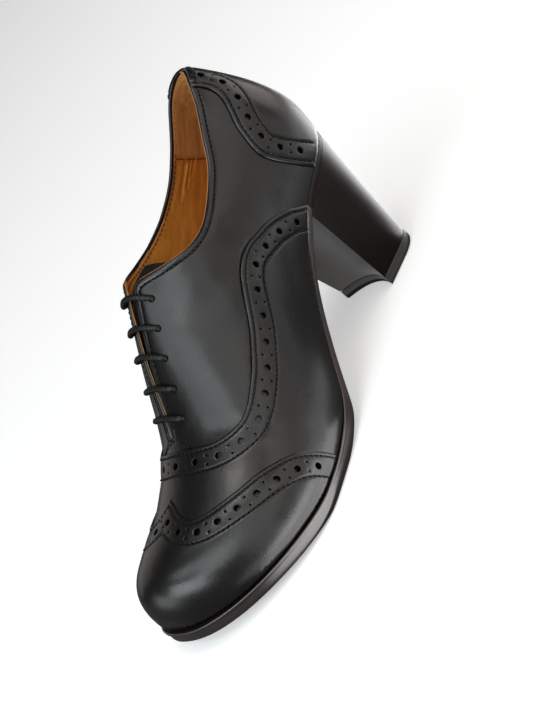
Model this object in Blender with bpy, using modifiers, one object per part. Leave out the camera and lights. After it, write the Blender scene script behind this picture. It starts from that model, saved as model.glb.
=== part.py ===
"""Heeled full brogue lace-up, left shoe, standing on its heel and forefoot.

Sizes are in millimetres and become metres when a mesh is made.
+X points to the toe, +Y to the outer (lateral) side, +Z up from the floor.
"""
import math

import bmesh
import bpy
import numpy as np
from mathutils import Vector

for old in list(bpy.data.objects):
    bpy.data.objects.remove(old)

# Sizes
MM = 0.001
GAP = 0.3
WALL = 1.8
LAST_LENGTH = 225.5
ORIGIN_X = 115.9
ORIGIN_Y = 6.3
HEEL_ROUND = 27.0
HEEL_POWER = 2.35
TOE_FROM = 160.0
TOE_POWER = 2.3
NOSE_FROM = 194.0
NOSE_POWER = 2.55
SEAT_BACK = 68.6
COLLAR_BACK = 128.0
BACK_FADE = 70.0
VAMP_THICK = 0.9
COUNTER_THICK = 1.0
WING_THICK = 1.6
PANEL_FOOT = 0.018
PANEL_SEAM = 0.7
CUT_OVER = 4.0
CUT_UNDER = 0.6
INSOLE_INSET = 2.6
INSOLE_THICK = 2.0
TONGUE_THICK = 1.4
TONGUE_UNDER = 2.6
TONGUE_BEND = 4.5
TONGUE_TOP_X = 106.0
TONGUE_TOP_Y = 1.5
TONGUE_TOP_Z = 99.0
EYELET_LATERAL = 10.5
EYELET_MEDIAL = 8.2
MEDIAL_SET_BACK = 1.8
EYELET_RADIUS = 1.8
LACE_RADIUS = 1.2
LACE_LIFT = 1.65
LIFT_THICK = 5.0
BREAST_STATION = 52.0
BREAST_HOLLOW = 5.0
TIP_BACK = 13.0
TIP_BREAST = 46.0
TIP_HALF_WIDTH = 15.8
HEEL_WAIST = 0.035

# Sections of the last. The half widths are at the feather line, the heights at the feather line
# and the ridge, and the last three columns shape the rib between them.
SECTION_COLUMNS = ("station", "lateral", "medial", "seat", "ridge", "flare", "low", "top")
SECTIONS = (
    (0.0, 23.0, 23.5, 68.6, 133.2, 0.060, 0.520, 0.490),
    (25.0, 25.0, 24.7, 64.5, 126.3, 0.060, 0.520, 0.460),
    (50.0, 26.0, 25.4, 58.3, 119.6, 0.045, 0.510, 0.415),
    (75.0, 27.9, 25.6, 44.2, 112.8, 0.155, 0.635, 0.505),
    (100.0, 33.5, 28.0, 26.0, 122.2, 0.152, 0.600, 0.435),
    (120.0, 40.1, 29.7, 11.5, 100.7, 0.110, 0.535, 0.340),
    (140.0, 45.3, 32.2, 6.8, 79.0, 0.060, 0.540, 0.370),
    (161.0, 47.3, 32.6, 6.3, 55.0, 0.042, 0.555, 0.430),
    (184.0, 44.2, 35.2, 8.3, 42.4, 0.043, 0.590, 0.510),
    (205.0, 41.8, 36.4, 10.1, 38.5, 0.045, 0.605, 0.565),
    (226.0, 41.5, 36.6, 12.4, 42.0, 0.048, 0.625, 0.590),
)
# Centre line of the last seen from above: station, sideways place.
CENTRE = ((0, 0.0), (60, -0.2), (100, -1.5), (130, -2.9), (155, -1.8), (184, 2.4), (205, 1.6), (226, -2.6))
# Curve of the back: share of the height from seat to collar, distance set forward.
BACK = ((0.0, 6.4), (0.25, 4.2), (0.5, 7.7), (0.75, 14.3), (1.0, 22.4))
# Collar line seen from the side: distance along the shoe, height.
COLLAR = (
    (14, 129.0), (23, 127.6), (30, 124.3), (40, 116.6), (50, 109.1), (60, 102.5), (70, 98.5),
    (80, 95.8), (90, 94.7), (100, 95.6), (110, 98.4), (118, 101.0), (126, 103.0),
)
# Half of the throat gap: distance along the shoe, half gap.
THROAT = ((100, 0.0), (110, 4.6), (120, 4.0), (140, 2.0), (156, 1.0), (162, 0.0))
THROAT_END = 162.0
# Underside of the outsole: station, height.
TREAD = (
    (0, 65.4), (25, 61.5), (50, 55.2), (75, 40.9), (100, 21.8), (112, 11.8), (121, 4.7), (131, 1.6),
    (143, 0.0), (168, 0.0), (184, 1.8), (205, 4.1), (226, 6.3),
)
# Sole edge standing out from the feather line: station, distance.
EDGE = ((0, 0.3), (100, 0.3), (112, 0.6), (125, 1.3), (145, 1.7), (170, 2.6), (205, 2.7), (226, 3.2))
# Side of the sole: share of the thickness from the top, inset, which only counts at the forefoot.
SOLE_SIDE = ((0.0, 0.5), (0.07, 0.0), (0.22, 0.0), (0.27, 0.45), (0.88, 0.5), (1.0, 1.0))
# Pattern lines on the last: station, share of the rib.
VAMP_EDGE = (
    (49.0, 0.0), (53.9, 0.06), (60.0, 0.134), (70.9, 0.227), (81.0, 0.278), (89.0, 0.297), (98.0, 0.304),
    (106.0, 0.318), (113.1, 0.336), (122.1, 0.357), (134.6, 0.378), (146.7, 0.425), (155.2, 0.505),
    (163.0, 0.66), (166.4, 0.86), (167.0, 1.0),
)
WING_EDGE = (
    (145.5, 0.0), (152.7, 0.144), (159.7, 0.254), (169.7, 0.385), (179.8, 0.50), (189.3, 0.64),
    (193.3, 0.745), (192.0, 0.86), (187.0, 0.96), (184.8, 1.0),
)
COUNTER_EDGE = (
    (29.0, 0.0), (36.0, 0.11), (41.0, 0.204), (43.2, 0.285), (42.0, 0.335), (39.5, 0.383), (34.5, 0.446),
    (26.4, 0.501), (19.5, 0.546), (15.6, 0.594), (14.3, 0.65), (13.9, 0.72), (13.8, 0.82),
)
EYELET_STATIONS = (121.8, 130.6, 139.4, 148.0, 156.4)
# Tongue below the facings: station, half width as a share of the rib from the ridge.
TONGUE = ((122, 0.31), (130, 0.31), (145, 0.29), (164, 0.26))


def smooth(rows, x):
    """Cubic curve through rows of (place, value), with slopes taken from the neighbouring rows."""
    place = np.array([row[0] for row in rows], float)
    value = np.array([row[1] for row in rows], float)
    step = np.diff(place)
    slope = np.diff(value) / step
    bend = np.empty(len(place))
    bend[0] = slope[0]
    bend[-1] = slope[-1]
    bend[1:-1] = (slope[:-1] * step[1:] + slope[1:] * step[:-1]) / (step[1:] + step[:-1])
    x = np.clip(np.asarray(x, float), place[0], place[-1])
    i = np.clip(np.searchsorted(place, x, side="right") - 1, 0, len(step) - 1)
    s = (x - place[i]) / step[i]
    start = (1 + 2 * s) * (1 - s) ** 2 * value[i] + s * (1 - s) ** 2 * step[i] * bend[i]
    end = s * s * (3 - 2 * s) * value[i + 1] + s * s * (s - 1) * step[i] * bend[i + 1]
    return start + end


def straight(rows, x):
    """Straight lines through rows of (place, value)."""
    return np.interp(x, [row[0] for row in rows], [row[1] for row in rows])


def section(name, x):
    """A column of the section table at station x."""
    k = SECTION_COLUMNS.index(name)
    return smooth([(row[0], row[k]) for row in SECTIONS], x)


def rounded(share, power):
    """Quarter of a superellipse, 1 at share 0 and 0 at share 1."""
    return np.clip(1 - np.clip(share, 0, 1) ** power, 0, 1) ** (1 / power)


def half_width(x, side):
    """Half width of the feather line at station x, closed round at the heel and the toe."""
    width = section("lateral" if side > 0 else "medial", x)
    heel = rounded(1 - np.asarray(x, float) / HEEL_ROUND, HEEL_POWER)
    toe = rounded((np.asarray(x, float) - TOE_FROM) / (LAST_LENGTH - TOE_FROM), TOE_POWER)
    return width * heel * toe


def set_forward(x, z):
    """Forward shift of the back curve, fading out along the shoe."""
    share = np.clip((z - SEAT_BACK) / (COLLAR_BACK - SEAT_BACK), 0.0, 1.0)
    s = np.clip(np.asarray(x, float) / BACK_FADE, 0, 1)
    return smooth(BACK, share) * (1 - s * s * (3 - 2 * s))


def rib(x, t, side):
    """Point on the last: station x, share t of the rib from feather line (0) to ridge (1)."""
    seat = section("seat", x)
    nose = rounded((np.asarray(x, float) - NOSE_FROM) / (LAST_LENGTH - NOSE_FROM), NOSE_POWER)
    height = (section("ridge", x) - seat) * nose
    first, second = 3 * (1 - t) ** 2 * t, 3 * (1 - t) * t * t
    out = (1 - t) ** 3 + first * (1 + section("flare", x)) + second * section("top", x)
    up = first * section("low", x) + second + t ** 3
    z = seat + height * up
    y = smooth(CENTRE, x) + side * half_width(x, side) * out
    return np.stack(np.broadcast_arrays(x + set_forward(x, z), y, z), -1)


def share_of(x):
    """Station as a share of the length, spread evenly round the heel and the toe."""
    return np.arccos(np.clip(1 - 2 * np.asarray(x, float) / LAST_LENGTH, -1, 1)) / math.pi


def station_of(u):
    return LAST_LENGTH * (1 - np.cos(math.pi * np.asarray(u, float))) / 2


def skin(x, t, side, lift=0.0):
    """Point lifted off the last along its normal."""
    x, t, lift = np.broadcast_arrays(np.asarray(x, float), np.asarray(t, float), np.asarray(lift, float))
    u = share_of(x)
    e = 0.002
    along = rib(station_of(np.clip(u + e, 0, 1)), t, side) - rib(station_of(np.clip(u - e, 0, 1)), t, side)
    up = rib(x, np.clip(t + e, 0, 1), side) - rib(x, np.clip(t - e, 0, 1), side)
    normal = np.cross(up, along) * side
    size = np.linalg.norm(normal, axis=-1, keepdims=True)
    normal = normal / np.maximum(size, 1e-9)
    for line, run in ((t > 1 - 1e-6, along), (x < 1e-6, up)):
        flat = np.stack([-run[..., 2], 0 * x, run[..., 0]], -1)
        flat = flat / np.maximum(np.linalg.norm(flat, axis=-1, keepdims=True), 1e-9)
        normal = np.where(line[..., None], flat, normal)
    tip = (x > LAST_LENGTH - 1e-6)[..., None]
    normal = np.where(tip, np.array([1.0, 0.0, 0.0]), normal)
    return rib(x, t, side) + normal * lift[..., None]


def top_share(x, side):
    """Share of the rib where the collar or the throat cuts the upper off, for one station."""
    t = np.linspace(0.0, 1.0, 801)
    p = rib(np.full_like(t, x), t, side)
    collar = smooth(COLLAR, p[:, 0]) - p[:, 2]
    half = straight(THROAT, p[:, 0])
    throat = np.where(half > 0, np.abs(p[:, 1] - smooth(CENTRE, x)) - half, 1.0)
    free = np.minimum(collar, throat)
    if free.min() > 0 or x >= THROAT_END:
        return 1.0
    k = int(np.argmax(free <= 0))
    return float(t[k - 1] + (t[k] - t[k - 1]) * free[k - 1] / (free[k - 1] - free[k]))


def resample(rows, count, power=1.0):
    """Points at even steps along a pattern line, measured on the lateral side of the last."""
    place = np.array(rows, float)
    order = np.arange(len(place))
    fine = np.linspace(0, len(place) - 1, 40 * len(place))
    x = smooth(list(zip(order, place[:, 0])), fine)
    t = smooth(list(zip(order, place[:, 1])), fine)
    p = rib(x, np.clip(t, 0, 1), 1)
    run = np.concatenate([[0], np.cumsum(np.linalg.norm(np.diff(p, axis=0), axis=1))])
    want = run[-1] * np.linspace(0, 1, count) ** power
    return np.interp(want, run, x), np.clip(np.interp(want, run, t), 0, 1)


def collection(name):
    group = bpy.data.collections.new(name)
    bpy.context.scene.collection.children.link(group)
    return group


SHOE = collection("brogue")
CUTTERS = collection("cutters")


def metres(point):
    """Place in the part's own frame, its origin on the floor at the middle of the shoe's box."""
    return Vector(((point[0] - ORIGIN_X) * MM, (point[1] - ORIGIN_Y) * MM, point[2] * MM))


def add_object(name, data, colour, rough):
    """Object with its own material."""
    material = bpy.data.materials.new(name + "_material")
    material.use_nodes = True
    shader = material.node_tree.nodes["Principled BSDF"]
    shader.inputs["Base Color"].default_value = (*colour, 1.0)
    shader.inputs["Roughness"].default_value = rough
    data.materials.append(material)
    thing = bpy.data.objects.new(name, data)
    SHOE.objects.link(thing)
    return thing


def finish_mesh(name, bm, colour, rough):
    """Object from a bmesh in millimetres, shaded smooth."""
    for vert in bm.verts:
        vert.co = metres(vert.co)
    mesh = bpy.data.meshes.new(name)
    bm.to_mesh(mesh)
    bm.free()
    mesh.shade_smooth()
    mesh.set_sharp_from_angle(angle=math.radians(40))
    return add_object(name, mesh, colour, rough)


def hide(tool):
    """Put a cutter away from the parts."""
    SHOE.objects.unlink(tool)
    CUTTERS.objects.link(tool)
    tool.hide_render = True
    tool.display_type = "WIRE"


def add_grid(bm, points):
    """Quads over a grid of points."""
    rows, cols = points.shape[:2]
    verts = [[bm.verts.new(points[i, k]) for k in range(cols)] for i in range(rows)]
    for i in range(rows - 1):
        for k in range(cols - 1):
            bm.faces.new((verts[i][k], verts[i + 1][k], verts[i + 1][k + 1], verts[i][k + 1]))


def close_up(bm):
    """Merge what coincides and drop what has no area."""
    bmesh.ops.remove_doubles(bm, verts=bm.verts, dist=0.002)
    bmesh.ops.dissolve_degenerate(bm, edges=bm.edges, dist=0.002)


def sheet(name, lateral, medial, thick, outward, colour, rough):
    """Both sides of a leather panel as one open surface, given its thickness by Solidify."""
    bm = bmesh.new()
    add_grid(bm, lateral)
    add_grid(bm, medial)
    close_up(bm)
    bmesh.ops.recalc_face_normals(bm, faces=bm.faces)
    facing = 0.0
    for face in bm.faces:
        spot = face.calc_center_median()
        x = min(max(spot.x, 30.0), 190.0)
        inside = Vector((x, 0.0, float(section("seat", x)) + 12.0))
        facing += face.normal.dot(spot - inside) * face.calc_area()
    if facing < 0:
        bmesh.ops.reverse_faces(bm, faces=bm.faces)
    panel = finish_mesh(name, bm, colour, rough)
    wall = panel.modifiers.new("wall", "SOLIDIFY")
    wall.thickness = thick * MM
    wall.offset = 1.0 if outward else -1.0
    wall.use_even_offset = False
    wall.use_quality_normals = True
    return panel


def slab(name, layers, colour, rough):
    """Closed solid from a top grid, rings between and a bottom grid."""
    bm = bmesh.new()
    add_grid(bm, layers[0])
    add_grid(bm, layers[-1])
    rings = []
    for grid in layers:
        ring = [grid[:, 0], grid[-1, 1:], grid[-2::-1, -1], grid[0, -2:0:-1]]
        rings.append(np.concatenate(ring))
    wall = np.stack([np.concatenate([ring, ring[:1]]) for ring in rings])
    add_grid(bm, wall)
    close_up(bm)
    bmesh.ops.recalc_face_normals(bm, faces=bm.faces)
    return finish_mesh(name, bm, colour, rough)


def across(lateral, medial, count):
    """Grid of straight rows from the lateral to the medial edge."""
    s = np.linspace(0, 1, count)[None, :, None]
    return lateral[:, None] * (1 - s) + medial[:, None] * s


def feather(x, side, out):
    """Feather line seen from above, set out by a distance along its normal."""
    u = share_of(x)
    e = 0.002
    base = rib(x, 0.0 * x, side)
    ahead = rib(station_of(np.clip(u + e, 0, 1)), 0.0 * x, side)
    step = ahead - rib(station_of(np.clip(u - e, 0, 1)), 0.0 * x, side)
    normal = np.stack([-step[:, 1], step[:, 0], 0 * x], -1) * side
    normal /= np.maximum(np.linalg.norm(normal, axis=1, keepdims=True), 1e-9)
    normal[x < 1e-6] = (-1.0, 0.0, 0.0)
    normal[x > LAST_LENGTH - 1e-6] = (1.0, 0.0, 0.0)
    return base + normal * np.asarray(out)[:, None]


def cord(name, path, radius, colour, rough):
    """Round cord along a path of points."""
    curve = bpy.data.curves.new(name, "CURVE")
    curve.dimensions = "3D"
    curve.bevel_depth = radius * MM
    curve.bevel_resolution = 2
    curve.use_fill_caps = True
    line = curve.splines.new("POLY")
    line.points.add(len(path) - 1)
    for spot, point in zip(line.points, path):
        spot.co = (*metres(point), 1.0)
    line.use_smooth = True
    return add_object(name, curve, colour, rough)


BLACK = (0.02, 0.021, 0.023)
TAN = (0.45, 0.2, 0.06)

# Upper: one hollow wall, open at the collar, the throat and underneath.
stations = station_of(np.linspace(0, 1, 43))
fine = np.linspace(100.0, 130.0, 301)
gap_first = [abs(rib(x, top_share(x, 1), 1)[1] - smooth(CENTRE, x)) - straight(THROAT, x) for x in fine]
corner = float(fine[int(np.argmax(np.array(gap_first) < 0.05))])
for fixed in (corner, THROAT_END):
    stations[int(np.argmin(np.abs(stations - fixed)))] = fixed
rows = 1 - (1 - np.linspace(0, 1, 11)) ** 1.25


def upper_grid(side):
    tops = np.array([top_share(x, side) for x in stations])
    return skin(stations[:, None], rows[None, :] * tops[:, None], side)


upper = sheet("upper", upper_grid(1), upper_grid(-1), WALL, False, BLACK, 0.35)


def eyelet_share(x, side):
    """Share of the rib at the eyelet row, a fixed distance from the centre line."""
    t = np.linspace(0.3, 1.0, 1401)
    y = np.abs(rib(np.full_like(t, x), t, side)[:, 1] - smooth(CENTRE, x))
    away = EYELET_LATERAL if side > 0 else EYELET_MEDIAL
    return float(t[int(np.argmin(np.abs(y - away)))])


bm = bmesh.new()
for station in EYELET_STATIONS:
    for side in (1, -1):
        x = station if side > 0 else station - MEDIAL_SET_BACK
        t = eyelet_share(x, side)
        low = Vector(skin(x, t, side, -4.0))
        high = Vector(skin(x, t, side, 3.0))
        turn = (high - low).to_track_quat("Z", "Y").to_matrix().to_4x4()
        turn.translation = (low + high) / 2
        bmesh.ops.create_cone(bm, cap_ends=True, segments=12, radius1=EYELET_RADIUS, radius2=EYELET_RADIUS,
                              depth=(high - low).length, matrix=turn)
punch = finish_mesh("eyelet_punch", bm, BLACK, 0.5)
hide(punch)
holes = upper.modifiers.new("eyelets", "BOOLEAN")
holes.operation = "DIFFERENCE"
holes.solver = "EXACT"
holes.object = punch

# Overlays, each cut out of a second wall that runs along the upper at a small distance.
vamp_x, vamp_t = resample(VAMP_EDGE, 33)
wing_x, wing_t = resample(WING_EDGE, 33)
counter_x, counter_t = resample(COUNTER_EDGE, 25)


def outer_wall(name, first, last, thick, rough):
    """Part of the outer wall between two stations, on the upper's own grid."""
    line = stations[(stations >= first) & (stations <= last)]

    def grid(side):
        tops = np.array([top_share(x, side) for x in line]) - PANEL_FOOT / 2
        tops[line >= THROAT_END] = 1.0
        share = PANEL_FOOT + (tops[:, None] - PANEL_FOOT) * rows[None, :]
        return skin(line[:, None], share, side, GAP)

    return sheet(name, grid(1), grid(-1), thick, True, BLACK, rough)


def cutter(name, from_x, from_t, to_x, to_t):
    """Thick curved slab over both sides, between two lines on the last."""
    r = np.linspace(0, 1, 12)[None, :]
    x = from_x[:, None] * (1 - r) + to_x[:, None] * r
    t = from_t[:, None] * (1 - r) + to_t[:, None] * r
    layers = []
    for lift in (CUT_OVER, -CUT_UNDER):
        layers.append(np.concatenate([skin(x, t, 1, lift), skin(x, t, -1, lift)[::-1]]))
    tool = slab(name, layers, BLACK, 0.5)
    hide(tool)
    return tool


def cut(panel, tool, operation):
    step = panel.modifiers.new(tool.name, "BOOLEAN")
    step.operation = operation
    step.solver = "EXACT"
    step.object = tool


vamp = outer_wall("vamp_overlay", 40.0, 200.0, VAMP_THICK, 0.35)
cut(vamp, cutter("vamp_outline", vamp_x, vamp_t, wing_x - PANEL_SEAM, wing_t), "INTERSECT")
wing = outer_wall("wing_cap", 138.0, LAST_LENGTH, WING_THICK, 0.3)
cut(wing, cutter("wing_outline", 0 * wing_x + 128.0, wing_t, wing_x, wing_t), "DIFFERENCE")
counter = outer_wall("heel_counter", 0.0, 54.0, COUNTER_THICK, 0.35)
cut(counter, cutter("counter_outline", counter_x, counter_t, 0 * counter_x + 62.0, counter_t), "DIFFERENCE")

# Tongue: a bent strip under the facings, its top end falling back into the opening.
tongue_x = np.array([122, 126, 131, 138, 146, 155, 164], float)


def tongue_grid(side):
    half = smooth(TONGUE, tongue_x)[:, None] * np.linspace(1, 0, 6)[None, :]
    body = skin(tongue_x[:, None], 1 - half, side, -TONGUE_UNDER)
    start = body[0]
    bend = start + TONGUE_BEND * np.array([-0.67, 0.0, 0.74])
    y = start[:, 1]
    end_y = 0.95 * y + TONGUE_TOP_Y
    end = np.stack([TONGUE_TOP_X - 0.02 * y ** 2, end_y, TONGUE_TOP_Z - 0.035 * (y + 1.5) ** 2], -1)
    q = np.array([1.0, 0.75, 0.5, 0.25])[:, None, None]
    fall = start * (1 - q) ** 2 + bend * 2 * q * (1 - q) + end * q ** 2
    return np.concatenate([fall, body])


sheet("tongue", tongue_grid(1), tongue_grid(-1), TONGUE_THICK, False, BLACK, 0.45)

# Sole
sole_x = station_of(np.linspace(0, 1, 43))


def sole_layer(share, inset):
    """Grid across the sole at a share of its thickness."""
    extra = smooth(EDGE, sole_x)
    step = np.clip((extra - 0.3) / 1.4, 0, 1) * inset
    grid = across(feather(sole_x, 1, extra - step), feather(sole_x, -1, extra - step), 4)
    station = np.clip(sole_x, 0, 226)[:, None]
    top = section("seat", station) - GAP
    bottom = np.maximum(smooth(TREAD, station), 0.0)
    grid[:, :, 2] = top * (1 - share) + bottom * share
    return grid


slab("outsole", [sole_layer(*row) for row in SOLE_SIDE], (0.03, 0.02, 0.016), 0.4)

insole_x = station_of(np.linspace(0.035, 0.965, 27))


def insole_layer(rise):
    inset = np.full_like(insole_x, -INSOLE_INSET)
    grid = across(feather(insole_x, 1, inset), feather(insole_x, -1, inset), 4)
    grid[:, :, 2] = section("seat", insole_x)[:, None] + rise
    return grid


slab("insole", [insole_layer(INSOLE_THICK), insole_layer(0.0)], TAN, 0.6)

# Heel: a tapered block under the seat, with a hollowed breast.
ring_v = np.linspace(0, 1, 15)
top_x = BREAST_STATION * np.cos(ring_v * math.pi / 2) ** 2


def heel_grid(share, height):
    """Grid across the heel at a share of its height from the seat to the tip."""
    edge = smooth(EDGE, top_x)
    seat_l = feather(top_x, 1, edge)
    seat_m = feather(top_x, -1, edge)
    turn = ring_v * math.pi / 2
    tip_x = TIP_BACK + (TIP_BREAST - TIP_BACK) * np.cos(turn) ** 2
    tip_y = TIP_HALF_WIDTH * rounded(1 - (tip_x - TIP_BACK) / 17.0, 2.3)
    tip = np.stack([tip_x, tip_y, 0 * tip_x], -1)
    k = share + HEEL_WAIST * math.sin(math.pi * share)
    lateral = seat_l * (1 - k) + tip * k
    medial = seat_m * (1 - k) + tip * np.array([1.0, -1.0, 1.0]) * k
    grid = across(lateral, medial, 7)
    hollow = BREAST_HOLLOW * (1 - np.linspace(-1, 1, 7) ** 2)
    grid[:, :, 0] -= hollow[None, :] * (np.cos(turn) ** 2)[:, None]
    if height is None:
        grid[:, :, 2] = smooth(TREAD, top_x)[:, None] - GAP
    else:
        seat = smooth(TREAD, top_x)[:, None] - GAP
        grid[:, :, 2] = seat * (1 - height) + (LIFT_THICK + GAP) * height
    return grid


heel_layers = [heel_grid(k, k if k else None) for k in (0.0, 0.25, 0.5, 0.75, 1.0)]
slab("heel_block", heel_layers, (0.022, 0.016, 0.013), 0.4)


def lift_layer(z, inset):
    grid = heel_grid(1.0, 1.0)
    middle = np.array([(TIP_BACK + TIP_BREAST) / 2, 0.0, 0.0])
    grid = middle + (grid - middle) * (1 - inset / TIP_HALF_WIDTH)
    grid[:, :, 2] = z
    return grid


slab("heel_top_lift", [lift_layer(LIFT_THICK, 0.0), lift_layer(0.6, 0.0), lift_layer(0.0, 0.5)],
     (0.02, 0.02, 0.02), 0.6)

# Lace: five straight bars, each turning down into its two eyelets.
for number, x_lat in enumerate(EYELET_STATIONS, start=1):
    path = []
    x_med = x_lat - MEDIAL_SET_BACK
    x_mid = (x_lat + x_med) / 2
    t_lat = eyelet_share(x_lat, 1)
    t_med = eyelet_share(x_med, -1)
    for lift in (-0.9, 0.4):
        path.append(skin(x_lat, t_lat, 1, lift))
    for k in np.linspace(0.06, 1.0, 4):
        path.append(skin(x_lat + (x_mid - x_lat) * k, t_lat + (1 - t_lat) * k, 1, LACE_LIFT))
    for k in np.linspace(1.0, 0.06, 4)[1:]:
        path.append(skin(x_med + (x_mid - x_med) * k, t_med + (1 - t_med) * k, -1, LACE_LIFT))
    for lift in (0.4, -0.9):
        path.append(skin(x_med, t_med, -1, lift))
    cord("lace_bar_%d" % number, path, LACE_RADIUS, (0.015, 0.015, 0.016), 0.55)
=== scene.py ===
"""Looks of a heeled full brogue lace-up, a left shoe in smooth black leather with a tan lining.

Sizes are in millimetres in the frame of the last, and become metres when a mesh is made.
A spot on the last is (u, w): u runs from the heel seam to the toe tip, w from the lateral feather
line (0) over the ridge (1) to the medial feather line (2). A side is 1 for lateral, -1 for medial.
"""
import math

import bmesh
import bpy
import numpy as np
from mathutils import Matrix, Vector
from mathutils.geometry import delaunay_2d_cdt
from mathutils.kdtree import KDTree


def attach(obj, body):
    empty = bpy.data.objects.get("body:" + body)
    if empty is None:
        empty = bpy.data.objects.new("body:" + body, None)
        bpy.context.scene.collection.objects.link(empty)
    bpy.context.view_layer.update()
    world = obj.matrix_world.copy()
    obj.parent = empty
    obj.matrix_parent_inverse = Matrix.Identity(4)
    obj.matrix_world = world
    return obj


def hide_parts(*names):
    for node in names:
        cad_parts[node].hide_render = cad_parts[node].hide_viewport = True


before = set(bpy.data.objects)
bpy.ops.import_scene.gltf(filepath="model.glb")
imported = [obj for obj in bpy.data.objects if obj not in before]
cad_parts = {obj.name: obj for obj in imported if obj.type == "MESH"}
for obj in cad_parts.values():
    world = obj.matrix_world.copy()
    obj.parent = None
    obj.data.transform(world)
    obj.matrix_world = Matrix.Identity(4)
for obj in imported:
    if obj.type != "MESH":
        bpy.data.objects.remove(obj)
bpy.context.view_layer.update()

# Sizes shared with the solids
MM = 0.001
SIDES = (1, -1)
GAP = 0.3
WALL = 1.8
LAST_LENGTH = 225.5
ORIGIN = np.array([115.9, 6.3, 0.0])
HEEL_ROUND = 27.0
HEEL_POWER = 2.35
TOE_FROM = 160.0
TOE_POWER = 2.3
NOSE_FROM = 194.0
NOSE_POWER = 2.55
SEAT_BACK = 68.6
COLLAR_BACK = 128.0
BACK_FADE = 70.0
VAMP_THICK = 0.9
COUNTER_THICK = 1.0
WING_THICK = 1.6
INSOLE_INSET = 2.6
INSOLE_THICK = 2.0
TONGUE_THICK = 1.4
TONGUE_UNDER = 2.6
TONGUE_BEND = 4.5
TONGUE_WAY = np.array([-0.67, 0.0, 0.74])
TONGUE_TOP = (106.0, 1.5, 99.0)
EYELET_AWAY = {1: 10.5, -1: 8.2}
MEDIAL_SET_BACK = 1.8
LIFT_THICK = 5.0
BREAST_STATION = 52.0
BREAST_HOLLOW = 5.0
TIP_BACK = 13.0
TIP_BREAST = 46.0
TIP_HALF_WIDTH = 15.8
TIP_ROUND = 17.0
TIP_POWER = 2.3
HEEL_WAIST = 0.035

# Sizes of the fine work
EYELET_RADIUS = 1.55
EYELET_HALOS = (0.3, 0.7, 1.2)
BIG_HOLE = 1.45
BIG_HALOS = (0.25, 0.6)
PIN_HOLE = 0.5
PIN_HALOS = (0.3,)
EYELET_SIDES, BIG_SIDES, PIN_SIDES, PIT_SIDES = 24, 20, 10, 8
BAND_ROWS = (1.8, 10.2)
BAND_BIG = 6.1
BAND_PINS = (4.3, 8.1)
VAMP_FIRST = 7.0
VAMP_HOLES = 13
WING_FIRST = 8.5
WING_HOLES = 8
COUNTER_FIRST = 7.5
COUNTER_LAST = 2.5
COUNTER_HOLES = 6
VAMP_UNDER = 0.35
WING_UNDER = 1.15
COUNTER_UNDER = 0.4
UNDERLAP = 3.0
STITCH_PITCH = 2.3
GRIP_PITCH = 1.9
THREAD_RADIUS = 0.36
BAND_SUNK = 0.16
COUNTER_SUNK = 0.2
COLLAR_SUNK = 0.18
NEEDLE_LOW = 1.4
LEAST_RUN = 6
PIT_RADIUS = 0.52
PIT_DEPTH = 0.8
COLLAR_ROW = 2.3
COLLAR_ROW_ENDS = (14.5, 160.0)
FACING_FROM = 112.0
CORNER_FROM = 104.0
CORNER_TO = 126.0
CORNER_SOFT = 2.0
GRIP_X = 37.6
GRIP_Z = 95.4
GRIP_LEAN = 0.975
CORD_RADIUS = 1.3
CREASE_RIDGE = 0.5
CREASE_RIDGE_AT = 1.9
FORK_DEPTH = 0.6
COVERED_DEPTH = 0.6
# Steps between spots along the rims, along the bands and over the panels
RIM_STEP = 0.6
BAND_STEP = 0.55
FILL_STEP = 1.5
# A row beside a line has folded over where it lies nearer to the line than its distance less this.
FOLD_SLACK = 0.12

SECTION_COLUMNS = ("station", "lateral", "medial", "seat", "ridge", "flare", "low", "top")
SECTIONS = (
    (0.0, 23.0, 23.5, 68.6, 133.2, 0.060, 0.520, 0.490),
    (25.0, 25.0, 24.7, 64.5, 126.3, 0.060, 0.520, 0.460),
    (50.0, 26.0, 25.4, 58.3, 119.6, 0.045, 0.510, 0.415),
    (75.0, 27.9, 25.6, 44.2, 112.8, 0.155, 0.635, 0.505),
    (100.0, 33.5, 28.0, 26.0, 122.2, 0.152, 0.600, 0.435),
    (120.0, 40.1, 29.7, 11.5, 100.7, 0.110, 0.535, 0.340),
    (140.0, 45.3, 32.2, 6.8, 79.0, 0.060, 0.540, 0.370),
    (161.0, 47.3, 32.6, 6.3, 55.0, 0.042, 0.555, 0.430),
    (184.0, 44.2, 35.2, 8.3, 42.4, 0.043, 0.590, 0.510),
    (205.0, 41.8, 36.4, 10.1, 38.5, 0.045, 0.605, 0.565),
    (226.0, 41.5, 36.6, 12.4, 42.0, 0.048, 0.625, 0.590),
)
# Centre line of the last seen from above: station, sideways place.
CENTRE = ((0, 0.0), (60, -0.2), (100, -1.5), (130, -2.9), (155, -1.8), (184, 2.4), (205, 1.6), (226, -2.6))
# Curve of the back: share of the height from seat to collar, distance set forward.
BACK = ((0.0, 6.4), (0.25, 4.2), (0.5, 7.7), (0.75, 14.3), (1.0, 22.4))
# Collar line seen from the side: distance along the shoe, height.
COLLAR = (
    (14, 129.0), (23, 127.6), (30, 124.3), (40, 116.6), (50, 109.1), (60, 102.5), (70, 98.5),
    (80, 95.8), (90, 94.7), (100, 95.6), (110, 98.4), (118, 101.0), (126, 103.0),
)
# Half of the throat gap: distance along the shoe, half gap.
THROAT = ((100, 0.0), (110, 4.6), (120, 4.0), (140, 2.0), (156, 1.0), (162, 0.0))
THROAT_END = 162.0
# Underside of the outsole: station, height.
TREAD = (
    (0, 65.4), (25, 61.5), (50, 55.2), (75, 40.9), (100, 21.8), (112, 11.8), (121, 4.7), (131, 1.6),
    (143, 0.0), (168, 0.0), (184, 1.8), (205, 4.1), (226, 6.3),
)
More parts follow.
